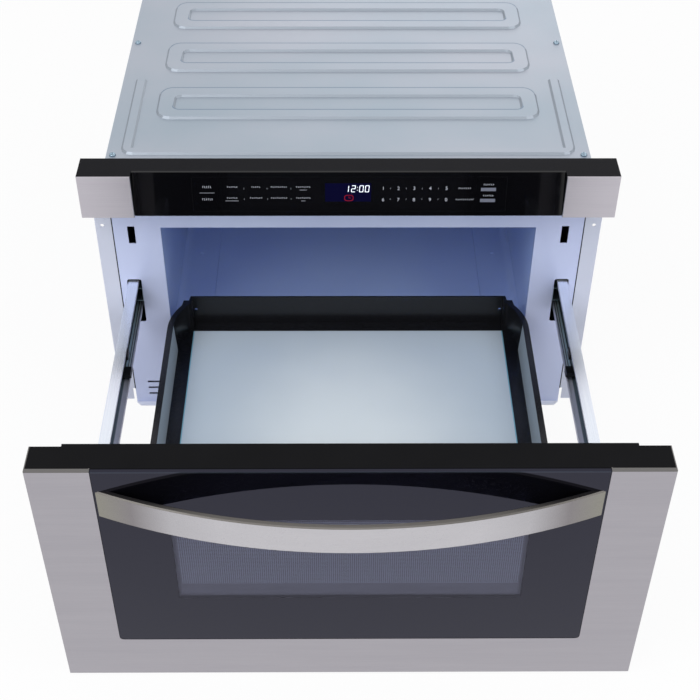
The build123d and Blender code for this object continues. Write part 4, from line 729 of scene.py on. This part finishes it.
def iconOutlines():
    # ring between two rounded squares |u|^n + |v|^n = 1, cut into quads, and the hands as bars
    turn = np.linspace(0, 2 * math.pi, timerIcon["steps"] + 1)
    unit = np.stack([np.cos(turn), np.sin(turn)], axis=1)
    power = timerIcon["square"]
    unit /= (abs(unit) ** power).sum(axis=1, keepdims=True) ** (1 / power)
    x, height = timerIcon["x"], timerIcon["height"]
    centre, half = np.array([x, height]), np.array(timerIcon["half"])
    inner = centre + unit * (half - timerIcon["stroke"])
    outer = centre + unit * half
    ring = np.stack([inner[:-1], outer[:-1], outer[1:], inner[1:]], axis=1) / 1000
    hands = [(x + u, height + v, wide, tall) for u, v, wide, tall in timerIcon["hands"]]
    return np.concatenate([ring, bars(hands)])


panelPiece("timer_icon", iconOutlines(), "icon", 2 * touchPanel["ink"])

touchField = {"x": (-176.4, 178.0), "heights": (6.5, 50.1), "line": 0.3}


def fieldOutline():
    # four thin bars round the part of the glass that answers to touch
    (left, right), (low, high) = touchField["x"], touchField["heights"]
    line = touchField["line"]
    flat = [((left + right) / 2, height, right - left, line) for height in (low, high)]
    upright = [(x, (low + high) / 2, line, high - low) for x in (left, right)]
    return bars(flat + upright)


panelPiece("touch_outline", fieldOutline(), "groove")
print("touch panel marked")

# painted shade in the seam between the front panel and each mounting flange
seamShadeStrip = {"x": (0.2781, 0.2793), "y": (-0.00015, 0.0009), "z": (0.025, 0.3285)}


def seamShadeStrips():
    # a dark strip in the joint between the front panel and each mounting flange, painted shade of
    # the seam: a rectangle in X and Z, walled along -Y, then turned upright
    x, z = seamShadeStrip["x"], seamShadeStrip["z"]
    right = [(x[0], z[0]), (x[1], z[0]), (x[1], z[1]), (x[0], z[1])]
    left = [(-u, v) for u, v in reversed(right)]
    points, faces = prisms([right, left], -seamShadeStrip["y"][1], -seamShadeStrip["y"][0])
    return points[:, [0, 2, 1]] * [1, -1, 1], faces


points, faces = seamShadeStrips()
makePiece("front_seam_shade", points, faces, "seamShade", "cabinet")

# thin dark bands laid on the cover's pressed rings: painted shade along the crests
coverCreaseShade = {
    "crown": 0.3724, "first": 0.1402, "pitch": 0.1109, "rings": 4,  # pressed rings of the cover
    # the crown's outer and inner edge: half width, half depth, corner, side of the edge that the
    # crease lies on, and where its ends start on the sides, as a share of the half depth
    "outer": (0.2291, 0.0338, 0.0146, -1.0, 0.4),
    "inner": (0.2119, 0.0166, 0.0084, 1.0, -0.1),
    "width": 0.0016, "thickness": 0.00004, "steps": 9,
    "taper": 3, "tip": 0.1,  # points over which an end narrows, and to which share of the width
}


def creaseShadeBand(edge, centre):
    # path: down a side, round a corner's arc, straight across, round the next and back up; the
    # band leaves it along the outline's normal (cos t, sin t) and narrows towards its ends
    half, reach, corner, side, start = edge
    turn = np.linspace(math.pi, math.pi / 2, coverCreaseShade["steps"])
    normal = np.stack([np.cos(turn), np.sin(turn)], axis=1)
    path = [corner - half, reach - corner] + corner * normal
    path = np.concatenate([[[-half, start * reach]], path])
    normal = np.concatenate([[[-1.0, 0.0]], normal])
    flip = [-1.0, 1.0]
    path = np.concatenate([path, path[::-1] * flip])
    normal = np.concatenate([normal, normal[::-1] * flip])
    along = np.arange(len(path))
    taper = np.minimum(along, along[::-1]) / coverCreaseShade["taper"]
    width = coverCreaseShade["width"] * np.clip(taper, coverCreaseShade["tip"], 1.0)[:, None]
    beyond = path + side * width * normal
    quads = np.stack([path[:-1], beyond[:-1], beyond[1:], path[1:]], axis=1)
    return quads * [1.0, -side] + [0.0, centre]


def paintCreaseShade():
    # painted shade: dark bands along the far crest of each ring's outside and the near crest of
    # its inside
    bands = []
    for i in range(coverCreaseShade["rings"]):
        centre = coverCreaseShade["first"] + i * coverCreaseShade["pitch"]
        bands.append(creaseShadeBand(coverCreaseShade["outer"], centre))
        bands.append(creaseShadeBand(coverCreaseShade["inner"], centre))
    low = coverCreaseShade["crown"]
    return prisms(np.concatenate(bands), low, low + coverCreaseShade["thickness"])


points, faces = paintCreaseShade()
makePiece("cover_crease_shade", points, faces, "creaseShade", "cabinet")
# the seam strips and crease bands are painted shade
print("seam_shades and creases laid")

coverScrew = {
    "x": 0.2722, "y": [0.0277, 0.289, 0.508], "seat": 0.370,
    "radius": 0.0040, "crown": 0.0024, "recess": 0.0011, "slot": 0.00055,
    "arm": 0.62,  # length of the cross's arms over the radius
    "sides": 36, "rings": 12,
}


def screwHeads():
    # pan head: height falls off as sqrt(1 - (r / radius)^4), with a cross sunk into the crown
    look = coverScrew
    rings, sides = look["rings"], look["sides"]
    share = np.linspace(0, 1, rings + 1)[1:]
    turn = np.linspace(0, 2 * math.pi, sides, endpoint=False)
    radius, around = np.meshgrid(share * look["radius"], turn, indexing="ij")
    x, y = radius * np.cos(around), radius * np.sin(around)
    height = look["crown"] * np.sqrt(np.clip(1 - (radius / look["radius"]) ** 4, 0, 1))
    inSlot = np.minimum(abs(x), abs(y)) < look["slot"]
    inCross = inSlot & (radius < look["arm"] * look["radius"])
    height = np.where(inCross, height - look["recess"], height)
    grid = np.stack([x, y, height], axis=2).reshape(-1, 3)
    head = np.concatenate([grid, [[0, 0, look["crown"] - look["recess"]], [0, 0, 0]]])
    # quads between the rings, a fan into the middle of the cross and one under the head
    ring = np.arange(sides)
    after = (ring + 1) % sides
    row = np.arange(rings - 1)[:, None] * sides
    quads = np.stack([row + ring, row + sides + ring, row + sides + after, row + after], axis=2)
    last, middle, foot = (rings - 1) * sides, rings * sides, rings * sides + 1
    fan = np.stack([np.full(sides, middle), ring, after], axis=1)
    under = np.stack([np.full(sides, foot), last + after, last + ring], axis=1)
    seats = np.array([(x, y, look["seat"]) for x in (-look["x"], look["x"]) for y in look["y"]])
    start = np.arange(len(seats))[:, None, None] * len(head)
    faces = []
    for group in (quads.reshape(-1, 4), fan, under):
        faces += (start + group).reshape(-1, group.shape[1]).tolist()
    return (seats[:, None] + head).reshape(-1, 3), faces


points, faces = screwHeads()
heads = makePiece("cover_screw_heads", points, faces, "screwSteel", "cabinet",
                  smooth=True)
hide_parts("cover_screws")
print("screw heads made")


# studio

studio = {
    "floor": "#f4f4f6", "floorSize": 12.0, "floorDrop": 0.0004,  # just under the object
    "floorGlow": 0.92,  # how much of the plain white shows over the floor's own colour
    "ambient": 0.62,
    "lamps": [  # place, aim, size, watts
        ((-1.5, -1.3, 2.5), (0.0, 0.0, 0.2), 1.8, 26.0),
        ((1.7, -0.9, 2.2), (0.0, 0.0, 0.2), 1.6, 14.0),
        ((0.0, -2.6, 1.1), (0.0, -0.3, 0.2), 1.4, 10.0),
        ((0.5, 3.0, 0.8), (0.0, 0.3, 0.2), 1.6, 9.0),
    ],
}


def seenDirectly(tree):
    # 1 for camera, mirror and see-through rays, 0 for the light that falls on the object
    path = addNode(tree, "LightPath")
    either = addNode(tree, "Math", {"operation": "MAXIMUM"},
                     {0: path.outputs["Is Camera Ray"], 1: path.outputs["Is Glossy Ray"]})
    seen = addNode(tree, "Math", {"operation": "MAXIMUM"},
                   {0: either.outputs["Value"], 1: path.outputs["Is Transmission Ray"]})
    return seen.outputs["Value"]


def studioFloor():
    # a matt square that takes the object's shadow, mixed with white where it is seen directly
    material = bpy.data.materials.new("studio_floor")
    material.use_nodes = True
    tree = material.node_tree
    tree.nodes.clear()
    matt = addNode(tree, "BsdfDiffuse", {"Color": linearColour(studio["floor"])})
    glow = addNode(tree, "Emission", {"Strength": 1.0})
    share = addNode(tree, "Math", {"operation": "MULTIPLY", 1: studio["floorGlow"]},
                    {0: seenDirectly(tree)})
    mixed = addNode(tree, "MixShader", None, {
        0: share.outputs["Value"], 1: matt.outputs["BSDF"], 2: glow.outputs["Emission"],
    })
    addNode(tree, "OutputMaterial", None, {"Surface": mixed.outputs["Shader"]})
    half, low = studio["floorSize"] / 2, -studio["floorDrop"]
    corners = [(-half, -half, low), (half, -half, low), (half, half, low), (-half, half, low)]
    mesh = bpy.data.meshes.new("studio_floor")
    mesh.from_pydata(corners, [], [(0, 1, 2, 3)])
    mesh.materials.append(material)
    floor = bpy.data.objects.new("studio_floor", mesh)
    bpy.context.scene.collection.objects.link(floor)


def studioWorld():
    # an even light from all round, white where it is seen directly
    world = bpy.data.worlds.new("studio_world")
    bpy.context.scene.world = world
    world.use_nodes = True
    tree = world.node_tree
    tree.nodes.clear()
    level = addNode(tree, "MapRange", {"To Min": studio["ambient"], "To Max": 1.0},
                    {"Value": seenDirectly(tree)})
    back = addNode(tree, "Background", {"Color": (1, 1, 1, 1)},
                   {"Strength": level.outputs["Result"]})
    addNode(tree, "OutputWorld", None, {"Surface": back.outputs["Background"]})


def studioLamps():
    # square soft boxes; a lamp shines along its own -Z, so its Z points from the aim to its place
    for i, (place, aim, size, watts) in enumerate(studio["lamps"]):
        lamp = bpy.data.lights.new(f"softbox_{i}", "AREA")
        lamp.shape = "SQUARE"
        lamp.size = size
        lamp.energy = watts
        holder = bpy.data.objects.new(f"softbox_{i}", lamp)
        backwards = np.subtract(place, aim)
        backwards = backwards / np.linalg.norm(backwards)
        side = np.cross([0, 0, 1], backwards)
        side = side / np.linalg.norm(side)
        up = np.cross(backwards, side)
        turn = Matrix([side.tolist(), up.tolist(), backwards.tolist()]).transposed().to_4x4()
        holder.matrix_world = Matrix.Translation(place) @ turn
        bpy.context.scene.collection.objects.link(holder)


viewpoint = {
    "place": (-0.00913, -1.25519, 1.22169),
    "focal": 1319.084, "image": 700,  # focal length and image width in pixels
    "down": 41.987, "turn": 0.536, "roll": -0.283,  # degrees
    "sensor": 36.0, "farthest": 50.0,  # sensor width in mm, clip distance in m
}


def camera():
    # looks down by one angle and round by another, then rolls about its own line of sight
    down, turn, roll = (math.radians(viewpoint[k]) for k in ("down", "turn", "roll"))
    ahead = np.array([math.sin(turn) * math.cos(down), math.cos(turn) * math.cos(down),
                      -math.sin(down)])
    level = np.array([math.cos(turn), -math.sin(turn), 0.0])
    sunk = np.cross(ahead, level)
    right = math.cos(roll) * level + math.sin(roll) * sunk
    below = math.cos(roll) * sunk - math.sin(roll) * level
    lens = bpy.data.cameras.new("camera")
    lens.sensor_width = viewpoint["sensor"]
    lens.lens = viewpoint["focal"] * viewpoint["sensor"] / viewpoint["image"]
    lens.clip_end = viewpoint["farthest"]
    holder = bpy.data.objects.new("camera", lens)
    turned = Matrix([right.tolist(), (-below).tolist(), (-ahead).tolist()]).transposed().to_4x4()
    holder.matrix_world = Matrix.Translation(viewpoint["place"]) @ turned
    bpy.context.scene.collection.objects.link(holder)
    bpy.context.scene.camera = holder


studioFloor()
studioWorld()
studioLamps()
camera()
bpy.context.scene.view_settings.view_transform = "Standard"
print("studio set")
